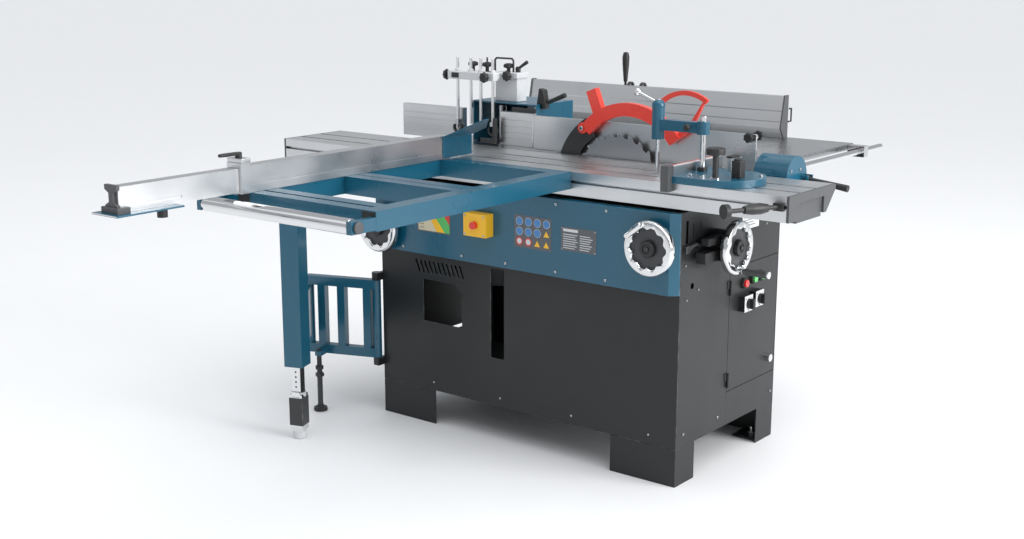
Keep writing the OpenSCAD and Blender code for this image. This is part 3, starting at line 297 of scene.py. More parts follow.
def only(*pieces):
    """Selects these objects and nothing else, with the first one active."""
    bpy.ops.object.select_all(action="DESELECT")
    for piece in pieces:
        piece.select_set(True)
    if pieces:
        bpy.context.view_layer.objects.active = pieces[0]


def coat(piece, finish):
    """Gives a piece one finish."""
    piece.data.materials.clear()
    piece.data.materials.append(bpy.data.materials[finish])
    return piece


def editing(piece, kind="VERT"):
    """Enters edit mode on one piece with nothing selected."""
    only(piece)
    bpy.ops.object.mode_set(mode="EDIT")
    bpy.ops.mesh.select_mode(type=kind)
    bpy.ops.mesh.select_all(action="DESELECT")


def done():
    """Leaves edit mode."""
    bpy.ops.object.mode_set(mode="OBJECT")


def paint(piece, finish, low, high):
    """Gives the faces whose middles lie inside a box in mm another finish."""
    piece.data.materials.append(bpy.data.materials[finish])
    last = len(piece.data.materials) - 1
    for face in piece.data.polygons:
        at = face.center / MM
        if all(low[i] <= at[i] <= high[i] for i in range(3)):
            face.material_index = last
    return piece


def round_edges(piece, width, steps=2):
    """Bevels the sharp edges, and marks the new faces for the edge wear."""
    piece.data.materials.clear()
    for _ in range(2):
        piece.data.materials.append(None)
    editing(piece, "EDGE")
    bpy.ops.mesh.edges_select_sharp(sharpness=SHARP_EDGE)
    bpy.ops.mesh.bevel(offset=width * MM * bpy.context.scene.saw_sizes.edge,
                       offset_type="OFFSET", segments=steps, profile=0.5, affect="EDGES",
                       clamp_overlap=True, loop_slide=True, material=1)
    done()
    wear = piece.data.attributes.get("edge_wear") or piece.data.attributes.new(
        "edge_wear", "FLOAT", "FACE")
    wear.data.foreach_set("value", [float(f.material_index) for f in piece.data.polygons])
    piece.data.polygons.foreach_set("material_index", [0] * len(piece.data.polygons))
    return piece


def turn_to(axis, at):
    """The matrix that stands a piece built along Z on a point, along an axis."""
    way = {"X": (1, 0, 0), "Y": (0, 1, 0), "Z": (0, 0, 1)}[axis] if isinstance(axis, str) else axis
    turn = Vector((0, 0, 1)).rotation_difference(Vector(way).normalized())
    return Matrix.Translation(Vector(at) * MM) @ turn.to_matrix().to_4x4()


def block(low, high, finish, width=1.0, steps=2):
    """A cube primitive at its size and place, with bevelled edges."""
    only()
    low, high = Vector(low) * MM, Vector(high) * MM
    bpy.ops.mesh.primitive_cube_add(size=1, location=(low + high) / 2, scale=high - low)
    piece = bpy.context.object
    bpy.ops.object.transform_apply(location=True, rotation=True, scale=True)
    return coat(round_edges(piece, width, steps), finish)


def scallop(piece, lobes, depth, reach=(0, 1000), per=8):
    """Scales the vertices between two radii, band by band, into finger lobes."""
    for band in range(1, per // 2 + 1):
        editing(piece)
        done()
        for v in piece.data.vertices:
            turn = (math.atan2(v.co.y, v.co.x) * lobes / (2 * math.pi)) % 1
            near = abs(min(turn, 1 - turn) - band / per) < 0.5 / per
            far = math.hypot(v.co.x, v.co.y) / MM
            v.select = near and reach[0] <= far <= reach[1]
        bpy.ops.object.mode_set(mode="EDIT")
        scale = 1 - depth * (1 - math.cos(2 * math.pi * band / per)) / 2
        bpy.ops.transform.resize(value=(scale, scale, 1), center_override=(0, 0, 0))
        done()


def raise_steps(steps):
    """Extrudes and scales the selection through steps of (radius, height)."""
    for (r0, h0), (r1, h1) in zip(steps, steps[1:]):
        bpy.ops.mesh.extrude_region_move(
            TRANSFORM_OT_translate={"value": (0, 0, (h1 - h0) * MM)})
        if abs(r1 - r0) > 1e-6:
            bpy.ops.transform.resize(value=(r1 / r0, r1 / r0, 1),
                                     center_override=(0, 0, h1 * MM))


def turned(profile, at, axis, finish, facets=32, lobes=0, depth=0.1):
    """A disc extruded and scaled through steps of (radius, height), perhaps with lobes."""
    only()
    bpy.ops.mesh.primitive_circle_add(vertices=lobes * 8 or facets,
                                      radius=profile[0][0] * MM, fill_type="NGON")
    piece = bpy.context.object
    bpy.ops.object.mode_set(mode="EDIT")
    bpy.ops.mesh.select_all(action="SELECT")
    bpy.ops.transform.translate(value=(0, 0, profile[0][1] * MM))
    raise_steps(profile)
    bpy.ops.mesh.select_all(action="SELECT")
    bpy.ops.mesh.normals_make_consistent(inside=False)
    done()
    if lobes:
        scallop(piece, lobes, depth, (max(r for r, _ in profile) * 0.55, 1000))
    piece.data.transform(turn_to(axis, at))
    return coat(piece, finish)


def repeat(piece, *steps):
    """The piece and its copies, each with its own mesh, moved by steps in mm."""
    made = [piece]
    for step in steps:
        twin = new_object(piece.name, piece.data.copy())
        shift(twin, step)
        made.append(twin)
    return made


def rod(start, end, radius, finish, end_radius=None, facets=20, chamfer=0.8):
    """A round bar between two points, chamfered, and perhaps tapered."""
    start, end = Vector(start), Vector(end)
    far = end_radius or radius
    length = (end - start).length
    c = min(chamfer, radius / 3, far / 3, length / 4)
    steps = [(radius - c, 0), (radius, c), (far, length - c), (far - c, length)]
    return turned(steps, start, end - start, finish, facets)


def screws(axis, radius, first, *others):
    """Socket head screws: a short cylinder with a dark hexagon on top as painted shade for the hex
    socket, copied to each place.
    """
    h = radius * 0.9
    head = turned([(radius, -0.5), (radius, h * 0.85), (radius * 0.88, h)], first, axis,
                  STEEL, 18)
    # A dark hexagon standing proud of the head: painted shade where the hex socket's recess would
    # be.
    socket_shade = turned([(radius * 0.5, h * 0.9), (radius * 0.5, h * 1.04)], first, axis,
                  DARK, 6)
    steps = [Vector(other) - Vector(first) for other in others]
    return repeat(head, *steps) + repeat(socket_shade, *steps)


def poly_curve(name, points, dimensions):
    """A curve of straight runs through points in mm."""
    line = bpy.data.curves.new(name, "CURVE")
    line.dimensions = dimensions
    spline = line.splines.new("POLY")
    spline.points.add(len(points) - 1)
    for knot, point in zip(spline.points, points):
        knot.co = (*(Vector(point) * MM), 1)
    return new_object(name, line)


def prism(outline, span, plane, finish, width=0.0, steps=2):
    """A closed outline drawn on a plane as a flat curve and given its thickness."""
    piece = poly_curve("outline", [(u, v, 0) for u, v in outline], "2D")
    piece.data.fill_mode = "BOTH"
    piece.data.extrude = abs(span[1] - span[0]) / 2 * MM
    piece.data.splines[0].use_cyclic_u = True
    only(piece)
    bpy.ops.object.convert(target="MESH")
    piece = bpy.context.object
    bpy.ops.object.mode_set(mode="EDIT")
    bpy.ops.mesh.select_all(action="SELECT")
    bpy.ops.mesh.remove_doubles(threshold=1e-6)
    bpy.ops.mesh.dissolve_limited(angle_limit=math.radians(0.5))
    bpy.ops.mesh.normals_make_consistent(inside=False)
    done()
    turn = {"X": Matrix(((0, 0, 1), (1, 0, 0), (0, 1, 0))),
            "Y": Matrix(((1, 0, 0), (0, 0, -1), (0, 1, 0))),
            "Z": Matrix.Identity(3)}[plane].to_4x4()
    middle = sum(span) / 2 * MM
    away = {"X": (middle, 0, 0), "Y": (0, middle, 0), "Z": (0, 0, middle)}[plane]
    piece.data.transform(Matrix.Translation(away) @ turn)
    if width:
        round_edges(piece, width, steps)
    return coat(piece, finish)


def disc_outline(centre, radius, count=24, start=0.0, end=360.0):
    """Points of a circle or an arc."""
    closed = end - start >= 360
    steps = count if closed else count - 1
    angles = [math.radians(start + (end - start) * i / steps) for i in range(count)]
    return [(centre[0] + radius * math.cos(a), centre[1] + radius * math.sin(a))
            for a in angles]


def band_outline(centre, inner, outer, start, end, count=28):
    """An arc-shaped band, closed at both ends."""
    return (disc_outline(centre, outer, count, start, end)
            + disc_outline(centre, inner, count, start, end)[::-1])


def wire(points, radius, finish):
    """A bent round bar through points, with closed ends."""
    piece = poly_curve("wire", points, "3D")
    piece.data.bevel_depth = radius * MM
    piece.data.bevel_resolution = 4
    piece.data.use_fill_caps = True
    only(piece)
    bpy.ops.object.convert(target="MESH")
    return coat(bpy.context.object, finish)


def flatten(parts):
    """One list from parts and lists of parts."""
    out = []
    for part in parts:
        out += flatten(part) if isinstance(part, (list, tuple)) else [part]
    return out


def place(name, body, slot, *parts, stands_for=()):
    """Joins the parts, applies their place, and sets them on a body."""
    parts = flatten(parts)
    only(*parts)
    if len(parts) > 1:
        bpy.ops.object.join()
    piece = bpy.context.view_layer.objects.active
    piece.name = piece.data.name = name
    bpy.ops.object.transform_apply(location=True, rotation=True, scale=True)
    bpy.ops.object.shade_smooth_by_angle(angle=SMOOTH_BELOW)
    even = piece.modifiers.new("Even shading", "WEIGHTED_NORMAL")
    even.keep_sharp = True
    bpy.ops.object.modifier_apply(modifier=even.name)
    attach(piece, body)
    if stands_for:
        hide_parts(*stands_for)
    return piece


def dress(node, finish, width=1.0, grooved=False):
    """A merged copy of a CAD node with rounded edges, standing for the node."""
    source = frame["nodes"][node]
    piece = new_object(node + "_dressed", source.data.copy())
    only(piece)
    bpy.ops.mesh.customdata_custom_splitnormals_clear()
    bpy.ops.object.mode_set(mode="EDIT")
    bpy.ops.mesh.select_all(action="SELECT")
    bpy.ops.mesh.remove_doubles(threshold=2e-6)
    bpy.ops.mesh.mark_sharp(clear=True)
    if not grooved:
        bpy.ops.mesh.dissolve_limited(angle_limit=math.radians(0.8))
    done()
    coat(round_edges(piece, width), finish)
    return place(node + "_dressed", source["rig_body"], SLOT_OF[node], piece,
                 stands_for=(node,))


# ---------------------------------------------------------------- pieces


class SAW_OT_stage(bpy.types.Operator):
    """Camera, floor and soft studio lights"""

    bl_idname = "saw.stage"
    bl_label = "Studio"

    def execute(self, context):
        scene = context.scene
        camera = new_object("Camera", bpy.data.cameras.new("Camera"))
        camera.location = (2.48896, -3.49563, 1.4766)
        camera.rotation_euler = [math.radians(a) for a in (77.233, 0, 38.094)]
        camera.data.sensor_width = 36
        camera.data.lens = 49.01
        camera.data.clip_end = 400
        scene.camera = camera
        scene.view_settings.view_transform = "Standard"
        make_surfaces()
        only()
        bpy.ops.mesh.primitive_plane_add(size=scene.saw_sizes.floor)
        floor = bpy.context.object
        floor.name = "studio_floor"
        coat(floor, "studio floor")
        world = bpy.data.worlds.new("Studio")
        world.use_nodes = True
        sky_light = world.node_tree.nodes["Background"].inputs
        sky_light["Color"].default_value = (0.93, 0.96, 1, 1)
        sky_light["Strength"].default_value = 0.52
        scene.world = world
        sky = new_object("Overhead", bpy.data.lights.new("Overhead", "SUN"))
        sky.data.energy, sky.data.angle = 1.8, math.radians(70)
        sky.rotation_euler = Vector((0.42, -0.10, 1)).to_track_quat("Z", "Y").to_euler()
        for name, at, aim, size, watts in (
                ("Key", (-2.6, -3.4, 4.6), (0, 0, 0.6), 3.4, 18),
                ("Side", (4.8, 0.6, 2.2), (0.3, 0, 0.5), 2.6, 190),
                ("Top", (-0.4, 1.2, 5.0), (0, 0, 0.8), 4.0, 40)):
            data = bpy.data.lights.new(name, "AREA")
            data.size, data.energy = size, watts
            light = new_object(name, data)
            light.location = at
            light.rotation_euler = (Vector(at) - Vector(aim)).to_track_quat("Z", "Y").to_euler()
        return {"FINISHED"}


class SAW_OT_painted(bpy.types.Operator):
    """Painted sheet metal, tubes and castings, the cabinet's floor, and a dark sheet as painted
    shade behind the front window
    """

    bl_idname = "saw.painted"
    bl_label = "Painted parts"

    def execute(self, context):
        for node, width in (("cabinet_front", 1.2), ("cabinet_shell", 1.0),
                            ("cabinet_feet", 1.2), ("table_bearers", 1.0),
                            ("service_door", 0.8)):
            dress(node, "charcoal paint", width)
        # The pan is the cabinet's floor; the upright sheet behind the window in the cabinet front
        # is a dark sheet put there as painted shade for the dark inside.
        pan = block((-552, -281, 112), (552, 281, 115), "charcoal paint", 0.5)
        shade_baffle = block((-502, -150, 240), (-500, 170, 500), "charcoal paint", 0.5)
        place("cabinet_floor_and_shade_baffle", "machine", "charcoal_paint", pan, shade_baffle)
        for node, width in (("front_panel", 2.0), ("outrigger_sides", 1.2),
                            ("outrigger_members", 1.2), ("fence_guard", 0.8),
                            ("gauge_base", 2.0), ("clamp_arm", 4.0), ("rip_head", 3.0),
                            ("spindle_hood", 1.6), ("swing_arm", 2.0), ("swing_link", 2.0)):
            dress(node, "blue paint", width)
        gauge = bpy.data.objects["gauge_base_dressed"]
        paint(gauge, BLACK, (600, -300, 892), (760, -130, 1000))
        paint(gauge, "chrome", (520, -190, 905), (575, -140, 1100))
        clamp = bpy.data.objects["clamp_arm_dressed"]
        paint(clamp, "chrome", (520, -190, 880), (572, -140, 991))
        paint(clamp, "chrome", (520, -190, 1030), (572, -140, 1100))
        dress("arbor_block", "cast iron paint", 1.5)
        dress("saw_motor", "cast iron paint", 2.0)
        dress("guide_rail", "grey plastic", 1.0)
        dress("carriage_caps", "grey plastic", 1.0)
        return {"FINISHED"}


class SAW_OT_metal(bpy.types.Operator):
    """Aluminium profiles, ground tables and machined parts"""

    bl_idname = "saw.metal"
    bl_label = "Bare metal parts"

    def execute(self, context):
        for node, finish, width in (
                ("carriage", "aluminium along", 0.7), ("gauge_fence", "aluminium across", 0.8),
                ("crosscut_fence", "aluminium across", 0.8),
                ("fence_extension", "aluminium across", 0.8),
                ("rip_fence", "aluminium along", 1.0), ("tall_fence", "aluminium along", 0.8),
                ("hood_fences", "aluminium along", 0.6), ("saw_table", "ground iron", 1.2),
                ("planer_tables", "ground iron", 1.5), ("planer_body", "cast iron paint", 1.2),
                ("saw_arbor", STEEL, 1.0), ("saw_blade", "blade steel", 0.3),
                ("spindle_shaft", STEEL, 1.0), ("planer_cutter", STEEL, 1.0),
                ("motor_pulley", STEEL, 1.0),
                ("spindle_quill", "cast iron paint", 1.5), ("roller", "chrome", 1.5),
                ("fence_bar", "chrome", 1.2), ("clamp_screw", "chrome", 1.5),
                ("door_latch", "chrome", 1.2), ("support_leg", "chrome", 1.2),
                ("riving_knife", DARK, 0.5)):
            dress(node, finish, width, grooved=node in ("crosscut_fence", "fence_extension"))
        paint(bpy.data.objects["fence_extension_dressed"], BLACK,
              (-400, -1600, 800), (-150, -1200, 868.5))
        return {"FINISHED"}


class SAW_OT_plastic(bpy.types.Operator):
    """Guard, grips, buttons and the belt"""

    bl_idname = "saw.plastic"
    bl_label = "Plastic parts"

    def execute(self, context):
        for node, finish, width in (
                ("blade_guard", "guard plastic", 2.0), ("push_handle", BLACK, 1.5),
                ("rise_lock", BLACK, 3.0), ("stop_button", "signal red", 1.5),
                ("start_button_saw", "signal green", 1.5),
                ("start_button_spindle", "signal green", 1.5),
                ("switch_saw", BLACK, 1.2), ("switch_spindle", BLACK, 1.2),
                ("rip_lever", BLACK, 2.0), ("tall_lever", BLACK, 1.5),
                ("arm_foot", BLACK, 1.5), ("estop_box", "signal yellow", 3.0),
                ("drive_belt", "belt rubber", 0.8)):
            dress(node, finish, width)
        return {"FINISHED"}


def handwheel(name, body, slot, node, at, axis, folded):
    """A chrome rim with an inner edge of finger lobes, a dark disc, a hub and a crank."""
    lobes = bpy.context.scene.saw_sizes.lobes
    rim_steps = [(73, 0), (77, 3), (78, 8), (78, 16), (76, 21), (72, 24), (63, 24), (59, 21),
                 (58, 16), (58, 6), (62, 0), (73, 0)]
    only()
    bpy.ops.mesh.primitive_circle_add(vertices=lobes * 12, radius=rim_steps[0][0] * MM)
    rim = bpy.context.object
    bpy.ops.object.mode_set(mode="EDIT")
    bpy.ops.mesh.select_all(action="SELECT")
    raise_steps(rim_steps)
    bpy.ops.mesh.select_all(action="SELECT")
    bpy.ops.mesh.remove_doubles(threshold=1e-5)
    bpy.ops.mesh.normals_make_consistent(inside=False)
    done()
    scallop(rim, lobes, 0.13, (50, 65), 12)
    coat(rim, "chrome")
    flat, up = "Z", (0, 0, 0)
    parts = [rim,
             turned([(64, 5), (64, 12), (30, 13.5), (30, 13)], up, flat, "dark disc", 48),
             turned([(24, 3), (24, 24), (22, 27), (13, 27.5), (12, 25)], up, flat,
                    BLACK, 36),
             turned([(7, 24), (7, 29), (6, 30)], up, flat, DARK, 6),
             turned([(9.5, -80), (10, -79), (10, 4), (9.5, 5)], up, flat, STEEL, 24)]
    if folded:
        parts.append(rod((-60, 32, 30), (-12, 69, 32), 8, "chrome", 9.5, 20, 3))
        parts.append(rod((-62, 31, 12), (-62, 31, 34), 7, "chrome"))
    else:
        parts.append(rod((0, -66, 16), (0, -66, 34), 8, "chrome"))
        parts.append(rod((0, -66, 32), (0, -66, 112), 8, "grey plastic", 11, 24, 3))
        parts.append(turned([(10, 111), (11, 113), (10.4, 116), (6, 116.5)],
                            (0, -66, 0), "Z", "chrome", 24))
    spin = {"-Y": Matrix.Rotation(math.radians(90), 4, "X"),
            "X": Matrix.Rotation(math.radians(90), 4, "Z")
            @ Matrix.Rotation(math.radians(90), 4, "X")}[axis]
    for part in parts:
        part.data.transform(Matrix.Translation(Vector(at) * MM) @ spin)
    return place(name, body, slot, parts, stands_for=(node,))


class SAW_OT_handwheels(bpy.types.Operator):
    """Three handwheels with lobed rims"""

    bl_idname = "saw.handwheels"
    bl_label = "Handwheels"

    def execute(self, context):
        handwheel("saw_handwheel", "saw_wheel", "bright_chrome", "wheel_saw",
                  (491, -330.4, 693), "-Y", True)
        handwheel("moulder_handwheel", "spindle_wheel", "bright_chrome", "wheel_spindle",
                  (-521, -330.4, 630), "-Y", True)
        handwheel("tilt_handwheel", "tilt_wheel", "bright_chrome", "wheel_end",
                  (612.4, -95, 673), "X", False)
        return {"FINISHED"}


def facing(points, depth, finish):
    """A thin layer of a label standing off the control panel by a depth in mm."""
    return prism(points, (PANEL_FACE, PANEL_FACE - depth), "Y", finish)


def rectangle(x0, x1, z0, z1):
    """Corners of a rectangle."""
    return [(x0, z0), (x1, z0), (x1, z1), (x0, z1)]


class SAW_OT_panel_labels(bpy.types.Operator):
    """Speed chart, plain signs, line plate and screws on the control panel"""

    bl_idname = "saw.panel_labels"
    bl_label = "Panel labels"

    def execute(self, context):
        chart = [facing([(-381, 634), (-245, 634), (-245, 706), (-381, 706)], 0.5, "label grey"),
                 facing([(-376, 638), (-300, 638), (-345, 702), (-376, 702)], 0.9, "label beige"),
                 facing([(-300, 638), (-268, 638), (-322, 702), (-345, 702)], 0.9,
                        "signal yellow"),
                 facing([(-268, 638), (-249, 638), (-249, 664), (-281, 702), (-322, 702)], 0.9,
                        "signal green"),
                 facing([(-249, 664), (-249, 702), (-281, 702)], 0.9, "red ink")]
        for i in range(5):
            z = 646 + i * 11
            chart.append(facing(rectangle(-370, -352 - i, z, z + 2), 1.1, "label grey"))
        place("speed_chart", "machine", "blue_paint", chart)
        signs = [facing(rectangle(3, 139, 632, 729), 0.5, "label grey")]
        ring = facing(disc_outline((22, 711), 12.5), 0.9, "label white")
        dot = facing(disc_outline((22, 711), 11.5), 1.1, "label blue")
        blues = [(33 * i, 0, 0) for i in range(1, 4)] + [(33 * i, 0, -30) for i in range(3)]
        signs += repeat(ring, *blues) + repeat(dot, *blues)
        reds = [facing(disc_outline((22, 651), 12.5), 0.9, "red ink"),
                facing(disc_outline((22, 651), 8.5), 1.1, "label white")]
        for red in reds:
            signs += repeat(red, (33, 0, 0))
        wedge = facing([(107, 671), (135, 671), (121, 695)], 0.9, "label grey")
        centre = facing([(110.6, 673), (131.4, 673), (121, 691)], 1.1, "signal yellow")
        for yellow in (wedge, centre):
            signs += repeat(yellow, (-33, 0, -32), (0, 0, -32))
        place("plain_signs", "machine", "blue_paint", signs)
        plate = [facing(rectangle(174, 297, 644, 713), 0.6, "label grey"),
                 facing(rectangle(181, 233, 700, 708), 0.9, "label white")]
        for i in range(7):
            z = 651 + i * 6.6
            for x0, x1 in ((181, 222 + (i * 7) % 11), (240, 272 + (i * 5) % 13)):
                plate.append(facing(rectangle(x0, x1, z, z + 2.2), 0.9, "label white"))
        plate += screws((0, -1, 0), 2, *[(x, PANEL_FACE - 0.5, z) for z in (648, 709)
                                         for x in (178, 293)])
        place("rating_plate", "machine", "blue_paint", plate)
        heads = screws((0, -1, 0), 4, *[(x, PANEL_FACE, z)
                                        for x in (-440, -200, -30, 155, 330)
                                        for z in (576, 775)])
        heads += screws((0, -1, 0), 3.2, *[(x, -350, z) for x in (-156, -84)
                                           for z in (658, 714)])
        place("panel_screws", "machine", "blue_paint", heads)
        place("stop_mushroom", "estop", "signal_red",
              turned([(11, 12), (11, -12), (13, -13), (20, -14), (21.5, -18), (20, -24),
                      (15, -28), (6, -30)], (-120, -350, 686), (0, -1, 0), "signal red", 36),
              stands_for=("estop_button",))
        return {"FINISHED"}


class SAW_OT_controls(bpy.types.Operator):
    """Face plates, bezels, label, bracket, screws and anchor bolts of the cabinet"""

    bl_idname = "saw.controls"
    bl_label = "End controls"

    def execute(self, context):
        second = (0, 67, 3)
        plates = repeat(prism(rectangle(45, 93, 448, 496), (580, 581.2), "X", "label white",
                              0.4), second)
        dot = prism(disc_outline((52, 487), 2.2, 10), (581, 581.5), "X", "label grey")
        for mark in repeat(dot, (0, 34, 0), (0, 17, -34)):
            plates += repeat(mark, second)
        bezel = turned([(16, 0), (16, 6), (14.5, 8.4), (12, 8.4)], (END_FACE, 71, 530), "X",
                       BLACK, 32)
        plates += repeat(bezel, (0, 54, 5), (0, 104, 5))
        place("switch_plates", "door", "charcoal_paint", plates)
        ink = (END_FACE + 0.4, END_FACE + 1)
        trim = [prism(rectangle(52, 152, 690, 765), (END_FACE, END_FACE + 0.7), "X",
                      "label white"),
                prism(rectangle(62, 104, 744, 758), ink, "X", "label grey")]
        for i in range(5):
            trim.append(prism(rectangle(62, 128 - (i * 9) % 22, 700 + i * 8, 702 + i * 8), ink,
                              "X", "label grey"))
        place("end_label", "machine", "charcoal_paint", trim)
        arch = band_outline((-228, 640), 52, 60, 62, 128, 16)
        bracket = [prism(arch, (560, 572), "X", DARK, 0.6),
                   prism(rectangle(-275, -255, 676, 696), (559.4, 570), "X", DARK, 0.8)]
        place("end_bracket", "machine", "charcoal_paint", bracket)
        bolts = screws("X", 3, *[(END_FACE, y, z) for y, z in (
            (-262, 640), (-190, 560), (-252, 540), (200, 690))])
        bolts += screws("X", 4, *[(END_FACE, y, z) for y, z in (
            (-252, 150), (-60, 150), (265, 150), (265, 700))])
        bolts += screws((0, -1, 0), 3.2, *[(END_FACE - 90 * i, -288, 140)
                                           for i in (1, 4, 7, 10)])
        place("cabinet_screws", "machine", "charcoal_paint", bolts)
        nut = turned([(12, 0), (12, 6), (10.5, 7.5)], (514, 243, 6.5), "Z", STEEL, 6)
        stud = rod((514, 243, 7), (514, 243, 30), 6, STEEL)
        corners = [(-1028, 0, 0), (0, -486, 0), (-1028, -486, 0)]
        feet = repeat(nut, *corners) + repeat(stud, *corners)
        place("anchor_bolts", "machine", "machined_steel", feet)
        return {"FINISHED"}


class SAW_OT_moulder_stand(bpy.types.Operator):
    """Hold-down stand: column, cross bar, rods, shoes, knobs and crank"""

    bl_idname = "saw.moulder_stand"
    bl_label = "Moulder stand"

    def execute(self, context):
        knob = context.scene.saw_sizes.knob / MM
        enamel = "light enamel"
        parts = [block((-392, 90, 1005), (-300, 140, 1080), enamel, 3, 3),
                 block((-398, 84, 1080), (-296, 144, 1100), enamel, 3, 3),
                 block((-535, 16, 1075), (-340, 40, 1101), enamel, 2.5, 3),
                 block((-392, 34, 1078), (-352, 95, 1099), enamel, 2, 3),
                 block((-520, 96, 1081), (-391, 120, 1096), enamel, 2, 3),
                 block((-516, 14, 1080), (-486, 17, 1096), BLACK, 0.6)]
        column = rod((-500, 28, 930), (-500, 28, 1147), 5, "chrome")
        collar = turned([(9, 0), (9, 7), (7, 9)], (-500, 28, 1101), "Z", enamel, 24)
        for part in (column, collar):
            parts += repeat(part, (56, 0, 0), (98, 0, 0), (148, 0, 0))
        hook = band_outline((-500, 916), 13.5, 18.5, -210, 60, 30)
        for part in (prism(hook, (22, 34), "Y", DARK, 0.8),
                     block((-507, 20, 928), (-493, 36, 942), STEEL, 1)):
            parts += repeat(part, (148, 0, 0))
        star = [(6, -14), (6, 0), (9, 2), (knob, 4), (knob + 0.5, 10), (knob - 2, 15), (8, 17.5)]
        parts += repeat(turned(star, (-500, 108, 1110), "Z", BLACK, 56, 7, 0.22),
                        (60, 0, 0), (150, 0, 0))
        grip = [(7, -2), (7, 6), (knob, 8), (knob + 1, 15), (knob - 3, 20), (9, 21)]
        parts += repeat(turned(grip, (-370, 17, 1087), (0, -1, 0), BLACK, 56, 8, 0.18),
                        (40, 67, 3))
        parts.append(turned(grip, (-535, 28, 1087), (-1, 0, 0), BLACK, 56, 8, 0.18))
        parts.append(rod((-440, 108, 1121), (-440, 108, 1143), 3, DARK))
        parts.append(wire([(-440, 108, 1095), (-412, 108, 1095), (-406, 108, 1101),
                           (-406, 108, 1137), (-400, 108, 1143), (-336, 108, 1143),
                           (-330, 108, 1137), (-330, 108, 1085)], 3.4, DARK))
        parts.append(turned([(8, 0), (9, 12), (6, 18)], (-314, 112, 1100), "Z", BLACK, 20))
        parts.append(rod((-314, 112, 1111), (-276, 112, 1135), 4, BLACK, 6))
        place("hold_down_stand", "machine", "aluminium_profile", parts,
              stands_for=("hood_column",))
        return {"FINISHED"}


class SAW_OT_moulder_housing(bpy.types.Operator):
    """A dark plate as painted shade in the front opening, and the base, post, levers, knob and
    angle of the moulder's housing
    """

    bl_idname = "saw.moulder_housing"
    bl_label = "Moulder housing"

    def execute(self, context):
        # A thin dark plate in the housing's front opening: painted shade for its dark inside.
        parts = [block((-302, 63, 950), (-206, 66, 992), DARK, 0.8),
                 block((-200, 100, 870.6), (-120, 200, 886), "blue paint", 2),
                 prism([(-214, 1005), (-180, 1005), (-188, 1052), (-206, 1056)], (80, 104), "Y",
                       BLACK, 2, 3),
                 rod((-186, 92, 1008), (-108, 92, 1040), 6, BLACK, 8, 24, 2),
                 turned([(13, 0), (13, 16), (10, 19)], (-188, 92, 992), "Z", BLACK, 24),
                 rod((-392, 120, 1018), (-360, 96, 1030), 5, BLACK, 6),
                 turned([(5, 0), (5, 8), (12, 10), (12, 20), (10, 22)], (-465, 90, 985),
                        (-1, 0, 0), BLACK, 32, 6, 0.2)]
        place("moulder_fittings", "machine", "blue_paint", parts)
        angle = [prism([(-392, 874), (-330, 874), (-330, 956), (-342, 956), (-342, 890),
                        (-392, 890)], (12, 24), "Y", DARK, 1.2)]
        place("fence_angle", "machine", "charcoal_paint", angle)
        return {"FINISHED"}


class SAW_OT_gauge(bpy.types.Operator):
    """Knobs, post, scale and clamp head of the mitre gauge"""

    bl_idname = "saw.gauge"
    bl_label = "Mitre gauge"

    def execute(self, context):
        thread = [(8.4 if i % 2 else 7.6, 2.4 * i) for i in range(30)]
        parts = [turned(thread, (643, -262, 888), "Z", DARK, 24),
                 turned([(10, 0), (10, 4), (26, 10), (27, 14), (26, 20), (20, 22)],
                        (643, -262, 952), "Z", BLACK, 56, 8, 0.12),
                 turned([(14, 0), (14, 3), (12, 4)], (643, -262, 890.4), "Z", "chrome", 32),
                 block((672, -229, 890.4), (700, -201, 938), BLACK, 2.5, 3),
                 turned([(12, 0), (12, 4), (10, 5)], (686, -215, 938), "Z", BLACK, 28),
                 turned([(14, 0), (14, 10), (12, 12)], (546, -165, 890.4), "Z", BLACK, 32),
                 block((600, -120, 890.4), (612, -84, 930), STEEL, 1),
                 block((597, -123, 926), (615, -81, 932), BLACK, 1),
                 screws("Z", 5, (560, -250, 890.4), (720, -150, 890.4))]
        place("gauge_fittings", "gauge", "blue_paint", parts)
        scale = [block((508.5, -286, 915), (513, -22, 915.8), "red ink", 0.2),
                 block((513.5, -286, 915), (526, -22, 915.6), "label white", 0.2),
                 block((504, -315, 848), (530, -288, 919), "grey plastic", 1.5)]
        for first, last, step, length in ((0, 26, 5, 522), (1, 25, 1, 518)):
            mark = block((514, -284 + first * 10, 915.2), (length, -283.2 + first * 10, 915.9),
                         "label grey", 0.1, 1)
            scale += repeat(mark, *[(0, 10 * (i - first), 0)
                                    for i in range(first + step, last, step)])
        place("gauge_scale", "gauge", "aluminium_profile", scale)
        head = [turned([(17, 0), (19, 4), (19, 12), (14, 20), (8, 23)], (400, -165, 1055), "Z",
                       "blue paint", 36),
                screws("Z", 5, (400, -165, 1076), (546, -165, 1028)),
                rod((516, -182, 1012), (516, -200, 1012), 4, "chrome"),
                turned([(5, 0), (9, 4), (10, 10), (7, 14)], (516, -196, 1012), (0, -1, 0),
                       BLACK, 28)]
        place("clamp_fittings", "clamp", "blue_paint", head)
        return {"FINISHED"}


